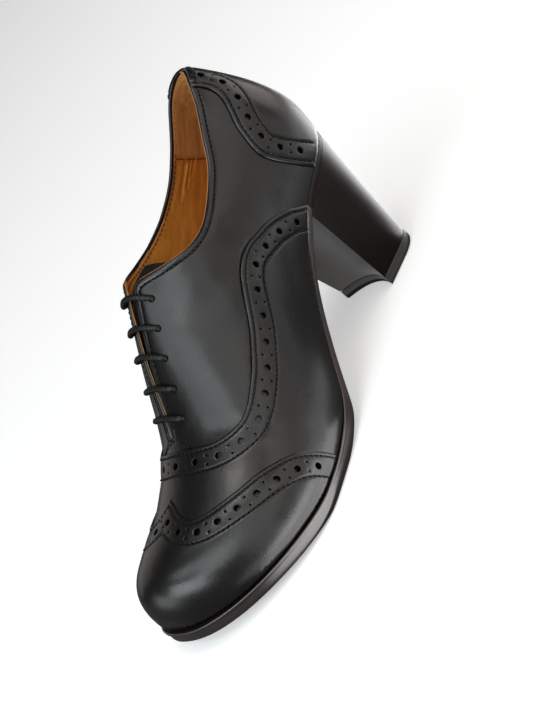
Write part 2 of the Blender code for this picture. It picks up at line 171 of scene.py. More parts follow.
# Sole edge standing out from the feather line: station, distance.
EDGE = ((0, 0.3), (100, 0.3), (112, 0.6), (125, 1.3), (145, 1.7), (170, 2.6), (205, 2.7), (226, 3.2))
# Pattern lines on the last: station, share of the rib.
VAMP_EDGE = (
    (49.0, 0.0), (53.9, 0.06), (60.0, 0.134), (70.9, 0.227), (81.0, 0.278), (89.0, 0.297), (98.0, 0.304),
    (106.0, 0.318), (113.1, 0.336), (122.1, 0.357), (134.6, 0.378), (146.7, 0.425), (155.2, 0.505),
    (163.0, 0.66), (166.4, 0.86), (167.0, 1.0),
)
WING_EDGE = (
    (145.5, 0.0), (152.7, 0.144), (159.7, 0.254), (169.7, 0.385), (179.8, 0.50), (189.3, 0.64),
    (193.3, 0.745), (192.0, 0.86), (187.0, 0.96), (184.8, 1.0),
)
COUNTER_EDGE = (
    (29.0, 0.0), (36.0, 0.11), (41.0, 0.204), (43.2, 0.285), (42.0, 0.335), (39.5, 0.383), (34.5, 0.446),
    (26.4, 0.501), (19.5, 0.546), (15.6, 0.594), (14.3, 0.65), (13.9, 0.72), (13.8, 0.82),
)
# Eyelets: lateral station, sag of the bar towards the toe near its medial end.
EYELETS = ((121.8, 2.6), (130.6, 2.2), (139.4, 0.8), (148.0, 1.0), (156.4, 0.6))
# Tongue below the facings: station, half width as a share of the rib from the ridge.
TONGUE = ((122, 0.31), (130, 0.31), (145, 0.29), (164, 0.26))
# Quarter fronts below the lace, where they curve apart: station, half gap.
FORK = ((158.0, 0.0), (161.0, 0.4), (163.0, 1.7), (164.4, 4.6), (165.4, 8.6), (166.5, 14.0))
# Soft creases on both sides: station and share of the two ends, depth, half width.
CREASES = (
    (150.0, 0.30, 158.0, 0.62, 0.16, 3.2),
    (143.0, 0.12, 150.0, 0.36, 0.13, 3.6),
    (157.0, 0.05, 166.0, 0.30, 0.14, 3.4),
    (172.0, 0.55, 178.0, 0.95, 0.10, 3.0),
    (100.0, 0.33, 124.0, 0.58, 0.14, 4.5),
    (84.0, 0.40, 98.0, 0.62, 0.12, 4.0),
    (60.0, 0.20, 84.0, 0.10, 0.12, 4.2),
)
# Folds of the lining on the medial side: station and share of the two ends, depth, half width.
LINING_FOLDS = (
    (44.5, 0.470, 60.5, 0.440, 0.5, 0.9),
    (40.0, 0.434, 54.0, 0.416, 0.4, 0.8),
    (38.0, 0.402, 46.5, 0.400, 0.35, 0.7),
    (50.0, 0.55, 72.0, 0.50, 0.25, 1.2),
)


def smooth(rows, x):
    """Cubic curve through rows of (knot, value), with slopes taken from the neighbouring rows."""
    knot = np.array([row[0] for row in rows], float)
    value = np.array([row[1] for row in rows], float)
    step = np.diff(knot)
    slope = np.diff(value) / step
    bend = np.empty(len(knot))
    bend[0] = slope[0]
    bend[-1] = slope[-1]
    bend[1:-1] = (slope[:-1] * step[1:] + slope[1:] * step[:-1]) / (step[1:] + step[:-1])
    x = np.clip(np.asarray(x, float), knot[0], knot[-1])
    i = np.clip(np.searchsorted(knot, x, side="right") - 1, 0, len(step) - 1)
    s = (x - knot[i]) / step[i]
    start = (1 + 2 * s) * (1 - s) ** 2 * value[i] + s * (1 - s) ** 2 * step[i] * bend[i]
    end = s * s * (3 - 2 * s) * value[i + 1] + s * s * (s - 1) * step[i] * bend[i + 1]
    return start + end


def straight(rows, x):
    """Straight lines through rows of (knot, value)."""
    return np.interp(x, [row[0] for row in rows], [row[1] for row in rows])


def ease(low, high, x):
    """Smooth step from 0 at low to 1 at high."""
    s = np.clip((np.asarray(x, float) - low) / (high - low), 0, 1)
    return s * s * (3 - 2 * s)


def hump(x, middle, half):
    """Bell curve, 1 at the middle."""
    return np.exp(-((x - middle) / half) ** 2)


def fall(x, reach):
    """Straight fall from 1 at 0 to 0 at the reach."""
    return np.clip(1 - x / reach, 0, 1)


def rounded(share, power):
    """Quarter of a superellipse, 1 at share 0 and 0 at share 1."""
    return np.clip(1 - np.clip(share, 0, 1) ** power, 0, 1) ** (1 / power)


def section(name, x):
    """A column of the section table at station x."""
    k = SECTION_COLUMNS.index(name)
    return smooth([(row[0], row[k]) for row in SECTIONS], x)


def half_width(x, side):
    """Half width of the feather line at station x, closed round at the heel and the toe."""
    x = np.asarray(x, float)
    width = np.where(np.asarray(side) > 0, section("lateral", x), section("medial", x))
    heel = rounded(1 - x / HEEL_ROUND, HEEL_POWER)
    toe = rounded((x - TOE_FROM) / (LAST_LENGTH - TOE_FROM), TOE_POWER)
    return width * heel * toe


def set_forward(x, z):
    """Forward shift of the back curve, fading out along the shoe."""
    share = np.clip((z - SEAT_BACK) / (COLLAR_BACK - SEAT_BACK), 0.0, 1.0)
    return smooth(BACK, share) * (1 - ease(0.0, BACK_FADE, x))


def rib(x, t, side):
    """Point on the last: station x, share t of the rib from feather line (0) to ridge (1)."""
    x = np.asarray(x, float)
    seat = section("seat", x)
    nose = rounded((x - NOSE_FROM) / (LAST_LENGTH - NOSE_FROM), NOSE_POWER)
    height = (section("ridge", x) - seat) * nose
    first, second = 3 * (1 - t) ** 2 * t, 3 * (1 - t) * t * t
    out = (1 - t) ** 3 + first * (1 + section("flare", x)) + second * section("top", x)
    up = first * section("low", x) + second + t ** 3
    z = seat + height * up
    y = smooth(CENTRE, x) + side * half_width(x, side) * out
    return np.stack(np.broadcast_arrays(x + set_forward(x, z), y, z), -1)


def share_of(x):
    """Station as a share of the length, spread evenly round the heel and the toe."""
    return np.arccos(np.clip(1 - 2 * np.asarray(x, float) / LAST_LENGTH, -1, 1)) / math.pi


def station_of(u):
    return LAST_LENGTH * (1 - np.cos(math.pi * np.asarray(u, float))) / 2


def parts_of(spots):
    """Columns u, t and side of spots given as (u, w)."""
    u, w = spots[..., 0], spots[..., 1]
    return u, np.where(w <= 1, w, 2 - w), np.where(w <= 1, 1.0, -1.0)


def to_spots(x, t, side):
    """Spots from station, share and side."""
    x, t, side = np.broadcast_arrays(np.asarray(x, float), np.asarray(t, float), np.asarray(side, float))
    return np.stack([share_of(x), np.where(side > 0, t, 2 - t)], -1)


def between(x0, t0, x1, t1, count=25):
    """Stations and shares on a straight line between two ends."""
    s = np.linspace(0, 1, count)
    return x0 + (x1 - x0) * s, t0 + (t1 - t0) * s


def unit(v):
    return v / np.maximum(np.linalg.norm(v, axis=-1, keepdims=True), 1e-9)


def slopes(spots):
    """Slopes along and up the last, and its outward normal."""
    u, t, side = parts_of(spots)
    e = 0.0015
    u1, u0 = np.clip(u + e, 0, 1), np.clip(u - e, 0, 1)
    t1, t0 = np.clip(t + e, 0, 1), np.clip(t - e, 0, 1)
    along = (rib(station_of(u1), t, side) - rib(station_of(u0), t, side)) / (u1 - u0)[..., None]
    x = station_of(u)
    up = (rib(x, t1, side) - rib(x, t0, side)) / (t1 - t0)[..., None]
    normal = unit(np.cross(up, along) * side[..., None])
    for line, run in ((t > 1 - 1e-6, along), (u < 1e-6, up)):
        flat = unit(np.stack([-run[..., 2], 0 * t, run[..., 0]], -1))
        normal = np.where(line[..., None], flat, normal)
    normal = np.where((u > 1 - 1e-6)[..., None], np.array([1.0, 0.0, 0.0]), normal)
    return along, up, normal


def place(spots, lift=0.0):
    """Points on the last, lifted along its normal."""
    u, t, side = parts_of(spots)
    base = rib(station_of(u), t, side)
    if np.ndim(lift) == 0 and lift == 0:
        return base
    return base + slopes(spots)[2] * np.broadcast_to(lift, base.shape[:-1])[..., None]


def walk(spots, way, distance, step=0.5):
    """Spots moved over the surface by a distance, starting in the direction way."""
    count = max(int(math.ceil(distance / step)), 1)
    size = distance / count
    spots = np.array(spots, float)
    for _ in range(count):
        along, up, normal = slopes(spots)
        way = unit(way - normal * np.sum(way * normal, -1, keepdims=True))
        a, b, c = np.sum(along * along, -1), np.sum(along * up, -1), np.sum(up * up, -1)
        f, g = np.sum(along * way, -1) * size, np.sum(up * way, -1) * size
        area = np.maximum(a * c - b * b, 1e-9)
        side = np.where(spots[..., 1] <= 1, 1.0, -1.0)
        spots[..., 0] += (c * f - b * g) / area
        spots[..., 1] += side * (a * g - b * f) / area
        back = spots[..., 0] < 0
        spots[..., 1] = np.where(back, 2 - spots[..., 1], spots[..., 1])
        spots[..., 0] = np.clip(np.abs(spots[..., 0]), 0, 1)
        spots[..., 1] = np.clip(spots[..., 1], 0, 2)
    return spots


def run_of(points):
    """Length along a line of points."""
    return np.concatenate([[0], np.cumsum(np.linalg.norm(np.diff(points, axis=0), axis=1))])


def at_lengths(want, run, rows):
    """Rows at wanted lengths along a run."""
    return np.stack([np.interp(want, run, column) for column in rows.T], -1)


def even(spots, step):
    """Spots at even steps along a line of spots."""
    run = run_of(place(spots))
    return at_lengths(np.linspace(0, run[-1], max(int(round(run[-1] / step)), 1) + 1), run, spots)


def pattern(rows, side, step):
    """Even spots along a pattern line given by rows of station and share."""
    fine = np.linspace(0, len(rows) - 1, 40 * len(rows))
    x, t = (smooth(list(enumerate(column)), fine) for column in zip(*rows))
    return even(to_spots(x, np.clip(t, 0, 1), side), step)


def both_sides(rows, step):
    """Pattern line from the lateral feather line over the ridge to the medial feather line."""
    lateral = pattern(rows, 1, step)
    medial = lateral.copy()
    medial[:, 1] = 2 - medial[:, 1]
    return np.concatenate([lateral, medial[::-1][1:]])


def line_way(spots, sense):
    """Direction over the surface across a line of spots."""
    tangent = unit(np.gradient(place(spots), axis=0))
    return unit(np.cross(slopes(spots)[2], tangent)) * sense


def distance_to(points, line, batch=1500):
    """Distance from each point to a line of points."""
    result = np.empty(len(points))
    first, run = line[:-1], np.diff(line, axis=0)
    size = np.maximum(np.sum(run * run, 1), 1e-12)
    for k in range(0, len(points), batch):
        part = points[k:k + batch]
        near = np.argmin(((part[:, None] - line[None]) ** 2).sum(2), axis=1)
        best = np.full(len(part), 1e9)
        for shift in (-1, 0):
            i = np.clip(near + shift, 0, len(run) - 1)
            s = np.clip(np.sum((part - first[i]) * run[i], 1) / size[i], 0, 1)
            best = np.minimum(best, np.linalg.norm(first[i] + run[i] * s[:, None] - part, axis=1))
        result[k:k + batch] = best
    return result


# Flat chart of each side of the last, for cutting panels out
U_STEPS = 360
T_STEPS = 120
U_GRID = np.linspace(0, 1, U_STEPS + 1)
T_GRID = np.linspace(0, 1, T_STEPS + 1)


def chart_of(side):
    """Length along the last a third of the way up, and length up each rib."""
    grid = rib(station_of(U_GRID)[:, None], T_GRID[None, :], side)
    up = np.linalg.norm(np.diff(grid, axis=1), axis=2)
    height = np.concatenate([np.zeros((len(U_GRID), 1)), np.cumsum(up, axis=1)], axis=1)
    return run_of(grid[:, T_STEPS // 3]), height


CHART = {side: chart_of(side) for side in SIDES}
RISE = np.stack([CHART[side][1] for side in SIDES])


def height_of(spots):
    """Length up the rib from the feather line, and the whole length of the rib."""
    u, t, side = parts_of(spots)
    i = np.clip((u * U_STEPS).astype(int), 0, U_STEPS - 1)
    k = np.clip((t * T_STEPS).astype(int), 0, T_STEPS - 1)
    fu, ft = u * U_STEPS - i, t * T_STEPS - k
    s = (side < 0).astype(int)
    low = RISE[s, i, k] * (1 - ft) + RISE[s, i, k + 1] * ft
    high = RISE[s, i + 1, k] * (1 - ft) + RISE[s, i + 1, k + 1] * ft
    whole = RISE[s, i, -1] * (1 - fu) + RISE[s, i + 1, -1] * fu
    return low * (1 - fu) + high * fu, whole


def flat_place(spots, over_ridge):
    """Flat chart of spots, with the sides joined over the ridge or else at the heel seam."""
    u, _, side = parts_of(spots)
    height, whole = height_of(spots)
    lateral, medial = (np.interp(u, U_GRID, CHART[key][0]) for key in SIDES)
    if over_ridge:
        return np.stack([(lateral + medial) / 2, side * (whole - height)], -1)
    return np.stack([np.where(side > 0, lateral, medial) * side, height], -1)


def scatter(first, last, side, step):
    """Spots spread over one side of the last between two stations."""
    along, height = CHART[side]
    start, end = np.interp(share_of(np.array([first, last])), U_GRID, along)
    found = []
    for i, a in enumerate(np.linspace(start, end, int((end - start) / step) + 1)):
        u = np.interp(a, along, U_GRID)
        k = min(int(u * U_STEPS), U_STEPS - 1)
        rise = height[k] + (height[k + 1] - height[k]) * (u * U_STEPS - k)
        count = max(int(rise[-1] / step), 1)
        v = (np.arange(count) + (0.25 if i % 2 else 0.75)) * rise[-1] / count
        t = np.interp(v, rise, T_GRID)
        found.append(np.stack([np.full(count, u), t if side > 0 else 2 - t], -1))
    return np.concatenate(found)


def ring(centre, radius, count):
    """Circle of spots round a spot."""
    turn = np.arange(count) * 2 * math.pi / count
    middle = np.repeat(np.asarray(centre, float)[None], count, axis=0)
    along, _, normal = slopes(middle)
    first = unit(along)
    second = np.cross(normal, first)
    way = first * np.cos(turn)[:, None] + second * np.sin(turn)[:, None]
    return walk(middle, way, radius, radius)


def rings_round(centres, radius, count, halos=(0.0,)):
    """Circles of spots round each of the centres, set out by each of the halos."""
    return [ring(spot, radius + halo, count) for spot in centres for halo in halos]


def keep_clear(spots, least, *fixed):
    """Spots that lie at least a distance away from the fixed ones."""
    points = place(np.concatenate(fixed))
    tree = KDTree(len(points))
    for i, p in enumerate(points):
        tree.insert(p, i)
    tree.balance()
    far = [tree.find(p)[2] >= least for p in place(spots)]
    return spots[np.array(far)]


def add_clear(kept, more, least, *fixed):
    """The kept spots, and those of more that are clear of them and of the fixed ones."""
    return np.concatenate([kept, keep_clear(more, least, kept, *fixed)])


def band_rows(line, sense, offsets, edge_points):
    """Rows of spots beside a line, and where each has not folded over."""
    way = line_way(line, sense)
    for offset in offsets:
        row = walk(line, way, offset)
        yield row, distance_to(place(row), edge_points) > offset - FOLD_SLACK


def band_spots(line, sense, offsets, edge_points):
    """Spots in rows beside a line, without those that fold over each other."""
    return np.concatenate([row[good] for row, good in band_rows(line, sense, offsets, edge_points)])


def runs(row, good):
    """Unbroken stretches of a row, short ones left out."""
    found, start = [], None
    for i, fine in enumerate(list(good) + [False]):
        if fine and start is None:
            start = i
        if not fine and start is not None:
            if i - start > LEAST_RUN:
                found.append(row[start:i])
            start = None
    return found


def needle_rows(line, sense, offsets, edge_points):
    """Needle pits in rows beside a line, one list of spots for each unbroken row."""
    found = []
    for row, good in band_rows(line, sense, offsets, edge_points):
        for part in runs(row, good & (height_of(row)[0] > NEEDLE_LOW)):
            found.append(even(part, STITCH_PITCH))
    return found


def triangles(outline, rings, inner, pits, over_ridge):
    """Triangles inside an outline, with the rings cut out.

    Labels: 0 for plain spots, above 0 for a ring, -1 for the bottom of a needle pit.
    """
    groups = [outline] + rings
    spots = np.concatenate(groups + [inner, pits])
    label = np.zeros(len(spots), int)
    label[len(spots) - len(pits):] = -1
    edges = []
    start = 0
    for number, group in enumerate(groups):
        count = len(group)
        edges += [(start + i, start + (i + 1) % count) for i in range(count)]
        label[start:start + count] = number
        start += count
    flat = [Vector(p) for p in flat_place(spots, over_ridge)]
    _, _, faces, origin, _, _ = delaunay_2d_cdt(flat, edges, [], 1, 1e-5)
    source = np.array([o[0] if o else -1 for o in origin])
    tri = source[np.array([f for f in faces if len(f) == 3])]
    tri = tri[(tri >= 0).all(1)]
    lab = label[tri]
    tri = tri[~((lab[:, 0] > 0) & (lab[:, 0] == lab[:, 1]) & (lab[:, 0] == lab[:, 2]))]
    used, tri = np.unique(tri, return_inverse=True)
    return spots[used], tri.reshape(-1, 3), label[used]


def weld(spots, tri, label):
    """Join the two sides where they meet at the ridge, the heel seam and the toe tip."""
    u, t, _ = parts_of(spots)
    seam = (t > 1 - 1e-9) | (u < 1e-9) | (u > 1 - 1e-9)
    key = {}
    to = np.arange(len(spots))
    for i in np.nonzero(seam)[0]:
        name = (round(u[i], 6), round(t[i], 6)) if u[i] < 1 - 1e-9 else "tip"
        to[i] = key.setdefault(name, i)
    tri = to[tri]
    fine = (tri[:, 0] != tri[:, 1]) & (tri[:, 1] != tri[:, 2]) & (tri[:, 0] != tri[:, 2])
    used, tri = np.unique(tri[fine], return_inverse=True)
    return spots[used], tri.reshape(-1, 3), label[used]


def add_mesh(name, points, faces, slots=None, materials=(), sharp=42.0):
    """Object in the part's frame from points in millimetres, riding on the shoe."""
    mesh = bpy.data.meshes.new(name)
    mesh.from_pydata(((np.asarray(points) - ORIGIN) * MM).tolist(), [], [list(map(int, f)) for f in faces])
    for material in materials:
        mesh.materials.append(material)
    if slots is not None:
        mesh.polygons.foreach_set("material_index", np.asarray(slots, np.int32))
    mesh.validate()
    mesh.shade_smooth()
    mesh.set_sharp_from_angle(angle=math.radians(sharp))
    mesh.update()
    thing = bpy.data.objects.new(name, mesh)
    bpy.context.scene.collection.objects.link(thing)
    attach(thing, "root")
    return thing


def stand_for(piece, node):
    """Hide a node of the solids, which the piece stands in for."""
    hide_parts(node)


# Rim of a leather wall: share of the depth, bulge in millimetres, material slot up to the next row.
TURNED_RIM = ((0.0, 0.0, 0), (0.25, 0.34, 0), (0.5, 0.46, 0), (0.66, 0.4, 1), (0.76, 0.62, 1), (0.9, 0.55, 1))
CUT_RIM = ((0.0, 0.0, 0), (0.35, 0.08, 0), (0.7, 0.07, 0))


def leather_wall(name, spots, tri, label, outer, inner, rim_rows, materials, inside, plain=False):
    """Closed wall between two lifts, with a rounded rim along its open edges.

    Material slots: 0 outside, 1 raw edge, 2 and on inside. Where plain holds, the rim is as the outside.
    """
    count = len(spots)
    top, bottom = place(spots, outer), place(spots, inner)
    normal = slopes(spots)[2]
    corner = top[tri]
    facing = np.cross(corner[:, 1] - corner[:, 0], corner[:, 2] - corner[:, 0])
    if np.sum(facing * normal[tri[:, 0]]) < 0:
        tri = tri[:, ::-1]
    sides = np.concatenate([tri[:, [0, 1]], tri[:, [1, 2]], tri[:, [2, 0]]])
    ordered = np.sort(sides, axis=1)
    _, where, times = np.unique(ordered[:, 0] * count + ordered[:, 1], return_index=True, return_counts=True)
    rim = sides[where[times == 1]]
    a, b = rim[:, 0], rim[:, 1]
    outward = np.zeros((count, 3))
    away = unit(np.cross(top[b] - top[a], normal[a]))
    np.add.at(outward, a, away)
    np.add.at(outward, b, away)
    on_rim = np.unique(rim)
    push = unit(outward[on_rim]) * np.where(label[on_rim] > 0, 0.0, 1.0)[:, None]
    points = [top, bottom]
    faces = [tri, tri[:, ::-1] + count]
    slots = [np.zeros(len(tri), int), np.broadcast_to(inside, len(tri))]
    low = np.arange(count)
    bare = np.broadcast_to(plain, count)[a]
    for k, (_, _, kind) in enumerate(rim_rows):
        high = np.arange(count) + count
        if k + 1 < len(rim_rows):
            depth, bulge, _ = rim_rows[k + 1]
            high[on_rim] = sum(map(len, points)) + np.arange(len(on_rim))
            points.append(top[on_rim] * (1 - depth) + bottom[on_rim] * depth + push * bulge)
        faces.append(np.stack([low[b], low[a], high[a], high[b]], 1))
        slots.append(np.where(bare, 0, kind))
        low = high
    faces = [face for group in faces for face in group]
    return add_mesh(name, np.concatenate(points), faces, np.concatenate(slots), materials)


def crease_lift(points):
    """Soft troughs worn into the leather, each between two low ridges."""
    result = np.zeros(len(points))
    for *ends, depth, half in CREASES:
        for side in SIDES:
            d = distance_to(points, rib(*between(*ends), side))
            ridge = CREASE_RIDGE * hump(d, CREASE_RIDGE_AT * half, half)
            result += depth * (ridge - hump(d, 0.0, half))
    return result


def top_share(x, side):
    """Share of the rib where the collar or the throat cuts the upper off, for one station."""
    t = np.linspace(0.0, 1.0, 801)
    p = rib(np.full_like(t, x), t, side)
    collar = smooth(COLLAR, p[:, 0]) - p[:, 2]
    half = straight(THROAT, p[:, 0])
    throat = np.where(half > 0, np.abs(p[:, 1] - smooth(CENTRE, x)) - half, 1.0)
    free = np.minimum(collar, throat)
    if free.min() > 0 or x >= THROAT_END:
        return 1.0
    k = int(np.argmax(free <= 0))
    return float(t[k - 1] + (t[k] - t[k - 1]) * free[k - 1] / (free[k - 1] - free[k]))


def top_line(side):
    """Collar and throat edge of one side, from the heel seam to the end of the throat, its corner rounded."""
    x = station_of(np.linspace(0, share_of(THROAT_END), 420))
    t = np.array([top_share(v, side) for v in x])
    turn = np.abs(np.diff(t, 2)) * ((x[1:-1] > CORNER_FROM) & (x[1:-1] < CORNER_TO))
    corner = x[1 + int(np.argmax(turn))]
    weight = hump(x[:, None], x[None, :], CORNER_SOFT)
    soft = weight @ t / weight.sum(1)
    t += (soft - t) * hump(x, corner, 2.5 * CORNER_SOFT)
    return to_spots(x, t, side)


def eyelet_place(station, side):
    """Station and share of an eyelet, a fixed distance from the centre line."""
    x = station if side > 0 else station - MEDIAL_SET_BACK
    t = np.linspace(0.3, 1.0, 1401)
    y = np.abs(rib(np.full_like(t, x), t, side)[:, 1] - smooth(CENTRE, x))
    return x, float(t[int(np.argmin(np.abs(y - EYELET_AWAY[side])))])


# Materials
def shader(name):
    material = bpy.data.materials.new(name)
    material.use_nodes = True
    return material, material.node_tree, material.node_tree.nodes["Principled BSDF"]


def set_inputs(node, rows):
    for key, value in rows:
        node.inputs[key].default_value = value


def add_node(tree, kind, inputs=(), **settings):
    made = tree.nodes.new(kind)
    for key, value in settings.items():
        setattr(made, key, value)
    set_inputs(made, inputs)
    return made


def noise(tree, where, scale, detail=3.0, rough=0.55):
    made = add_node(tree, "ShaderNodeTexNoise", (("Scale", scale), ("Detail", detail), ("Roughness", rough)))
    tree.links.new(where, made.inputs["Vector"])
    return made.outputs["Fac"]


def ramp(tree, value, stops):
    made = add_node(tree, "ShaderNodeValToRGB")
    line = made.color_ramp
    while len(line.elements) < len(stops):
        line.elements.new(0.5)
    for element, (spot, colour) in zip(line.elements, stops):
        element.position = spot
        element.color = (*colour, 1.0)
    tree.links.new(value, made.inputs["Fac"])
    return made.outputs["Color"]


def spread_to(tree, value, low, high):
    made = add_node(tree, "ShaderNodeMapRange", (("To Min", low), ("To Max", high)))
    tree.links.new(value, made.inputs["Value"])
    return made.outputs["Result"]


def bump(tree, height, strength, distance, under=None):
    made = add_node(tree, "ShaderNodeBump", (("Strength", strength), ("Distance", distance)))
    tree.links.new(height, made.inputs["Height"])
    if under is not None:
        tree.links.new(under, made.inputs["Normal"])
    return made.outputs["Normal"]


def object_place(tree):
    return add_node(tree, "ShaderNodeTexCoord").outputs["Object"]


def streaked_place(tree, where):
    """Place drawn out along the rubbing direction of the foot, from the collar forward and down."""
    for setting in (("Rotation", (0.0, -0.62, 0.0)), ("Scale", (0.12, 1.0, 1.0))):
        made = add_node(tree, "ShaderNodeMapping", (setting,))
        tree.links.new(where, made.inputs["Vector"])
        where = made.outputs["Vector"]
    return where


def leather(name, dark, light, rough, grain, depth, coat=0.0, coat_rough=0.3, nap=0.0, streaked=False,
            gloss=0.5):
    """Leather with a pebbled grain, cloudy colour and a finish that is not quite even."""
    material, tree, bsdf = shader(name)
    where = object_place(tree)
    if streaked:
        cloud = noise(tree, streaked_place(tree, where), 420.0, 4.0, 0.6)
    else:
        cloud = noise(tree, where, 55.0, 4.0)
    tree.links.new(ramp(tree, cloud, ((0.3, dark), (0.72, light))), bsdf.inputs["Base Color"])
    patch = noise(tree, where, 130.0, 5.0, 0.6)
    tree.links.new(spread_to(tree, patch, rough - 0.07, rough + 0.07), bsdf.inputs["Roughness"])
    cell = add_node(tree, "ShaderNodeTexVoronoi", feature="SMOOTH_F1")
    set_inputs(cell, (("Scale", grain), ("Randomness", 1.0), ("Smoothness", 0.6)))
    tree.links.new(where, cell.inputs["Vector"])
    pores = bump(tree, cell.outputs["Distance"], 0.5, depth)
    waves = bump(tree, noise(tree, where, 260.0, 2.0), 0.5, depth * 2.0, pores)
    tree.links.new(waves, bsdf.inputs["Normal"])
    set_inputs(bsdf, (("Specular IOR Level", gloss), ("Coat Weight", coat), ("Coat Roughness", coat_rough)))
    if nap:
        set_inputs(bsdf, (
            ("Sheen Weight", nap), ("Sheen Roughness", 0.5), ("Sheen Tint", (1.0, 0.78, 0.55, 1.0))))
    return material


BLACK_LEATHER = leather("black_leather", (0.0034, 0.0029, 0.0027), (0.0062, 0.0053, 0.0049),
                        0.29, 1700.0, 0.00006, 0.12, 0.2)
LINING = leather("tan_lining", (0.49, 0.178, 0.022), (0.78, 0.318, 0.05), 0.5, 1300.0, 0.00006, streaked=True)
SUEDE = leather("heel_grip_suede", (0.42, 0.19, 0.043), (0.74, 0.36, 0.10),
                0.85, 2600.0, 0.00009, nap=0.12, streaked=True)
RAW_EDGE = leather("raw_tan_edge", (0.42, 0.2, 0.075), (0.62, 0.32, 0.14), 0.75, 2600.0, 0.00008)
SOLE_EDGE = leather("dark_sole_edge", (0.009, 0.0058, 0.0055), (0.026, 0.0125, 0.0115),
                    0.38, 900.0, 0.00003, 0.5, 0.3, gloss=1.0)
TREAD_FACE = leather("sole_underside", (0.02, 0.017, 0.015), (0.036, 0.031, 0.028), 0.6, 700.0, 0.0001)
BREAST = leather("heel_breast", (0.052, 0.047, 0.044), (0.072, 0.066, 0.062), 0.36, 1500.0, 0.00003, 0.1, 0.3)
TONGUE_LEATHER = leather("tongue_leather", (0.0045, 0.0042, 0.004), (0.0075, 0.007, 0.0068),
                         0.6, 1100.0, 0.0001, gloss=0.15)
RUBBER = leather("top_lift_rubber", (0.04, 0.0385, 0.037), (0.06, 0.058, 0.056), 0.55, 2200.0, 0.00008)


def thread(name, colour, rough, gloss):
    """Twisted thread or cord, with painted shade that darkens it between its strands."""
    material, tree, bsdf = shader(name)
    strands_and_shade = noise(tree, object_place(tree), 2600.0, 2.0)
    # Painted shade: the colour darkens where the strand bump dips, between the strands.
    stops = ((0.3, tuple(0.6 * c for c in colour)), (0.7, colour))
    tree.links.new(ramp(tree, strands_and_shade, stops), bsdf.inputs["Base Color"])
    tree.links.new(bump(tree, strands_and_shade, 0.6, 0.00008), bsdf.inputs["Normal"])
    set_inputs(bsdf, (("Roughness", rough), ("Specular IOR Level", gloss)))
    return material


BLACK_THREAD = thread("black_thread", (0.004, 0.004, 0.0042), 0.7, 0.25)
TAN_THREAD = thread("tan_thread", (0.14, 0.052, 0.014), 0.7, 0.3)
LACE_CORD = thread("waxed_lace", (0.0036, 0.0036, 0.0038), 0.42, 0.4)


def stacked(name, stops, gloss):
    """Heel of thin dark leather layers, with a fine line at each joint."""
    material, tree, bsdf = shader(name)
    where = object_place(tree)
    split = add_node(tree, "ShaderNodeSeparateXYZ")
    tree.links.new(where, split.inputs["Vector"])
    sway = add_node(tree, "ShaderNodeMath", ((1, 0.0016),), operation="MULTIPLY_ADD")
    tree.links.new(noise(tree, where, 22.0, 2.0), sway.inputs[0])
    tree.links.new(split.outputs["Z"], sway.inputs[2])
    level = add_node(tree, "ShaderNodeCombineXYZ")
    tree.links.new(sway.outputs["Value"], level.inputs["Z"])
    fine = noise(tree, level.outputs["Vector"], 900.0, 4.0, 0.75)
    tree.links.new(ramp(tree, fine, stops), bsdf.inputs["Base Color"])
    tree.links.new(bump(tree, fine, 0.5, 0.00022), bsdf.inputs["Normal"])
    tree.links.new(spread_to(tree, fine, 0.26, 0.44), bsdf.inputs["Roughness"])
    set_inputs(bsdf, (("Specular IOR Level", gloss),))
    return material


STACK_STOPS = (
    (0.36, (0.0018, 0.0009, 0.0008)), (0.5, (0.0058, 0.0029, 0.0024)), (0.66, (0.0165, 0.0083, 0.0066)))
STACKED = stacked("stacked_heel", STACK_STOPS, 0.36)

# Upper: quarters with real eyelets, the lining inside
TOP = {side: top_line(side) for side in SIDES}
TOP_POINTS = {side: place(line) for side, line in TOP.items()}
ROW_STEPS = (0.3, 0.7, 1.2, 1.7, 2.0, 2.3, 2.6, 2.9, 3.4)


def from_top(spots, points):
    """Distance from the collar and throat edge of the same side."""
    lateral, medial = (distance_to(points, TOP_POINTS[side]) for side in SIDES)
    return np.where(parts_of(spots)[2] > 0, lateral, medial)


def before_grip(points):
    """Distance in front of the edge of the suede heel grip inside, which leans forward to the collar."""
    return points[..., 0] - GRIP_X - GRIP_LEAN * (points[..., 2] - GRIP_Z)


def grip_line(side):
    """Front edge of the heel grip."""
    x, t = np.linspace(2.0, 75.0, 400), np.linspace(0.05, 0.8, 140)
    away = np.abs(before_grip(rib(x[None, :], t[:, None], side)))
    return even(to_spots(x[np.argmin(away, axis=1)], t, side), 1.1)


def collar_pits(side):
    """Needle pits of the row along the collar and the facing, in front of the counter."""
    first, last = share_of(COLLAR_ROW_ENDS)
    rim = even(TOP[side], RIM_STEP)
    rim = rim[(rim[:, 0] > first) & (rim[:, 0] < last)]
    return needle_rows(rim, side, (COLLAR_ROW,), TOP_POINTS[side])


GRIP = {side: grip_line(side) for side in SIDES}
COLLAR_PITS = {side: collar_pits(side) for side in SIDES}


def fold_spots():
    """Close rows of spots over the folds of the lining."""
    found = []
    for *ends, _, half in LINING_FOLDS:
        line = to_spots(*between(*ends, 26), -1)
        found.append(line)
        for sense in SIDES:
            found += [walk(line, line_way(line, sense), half * k) for k in (0.6, 1.2, 2.0)]
    return np.concatenate(found)


def fork_spots(side):
    """Close grid of spots where the quarter fronts curve apart."""
    x, y = np.meshgrid(np.arange(156.5, 169.0, 0.45), np.arange(0.35, 15.0, 0.45))
    x, y = x.ravel(), y.ravel()
    spots = to_spots(x, 1 - y / np.interp(x, station_of(U_GRID), CHART[side][1][:, -1]), side)
    return spots[np.abs(place(spots)[:, 1] - smooth(CENTRE, x)) > straight(THROAT, x) + 0.3]


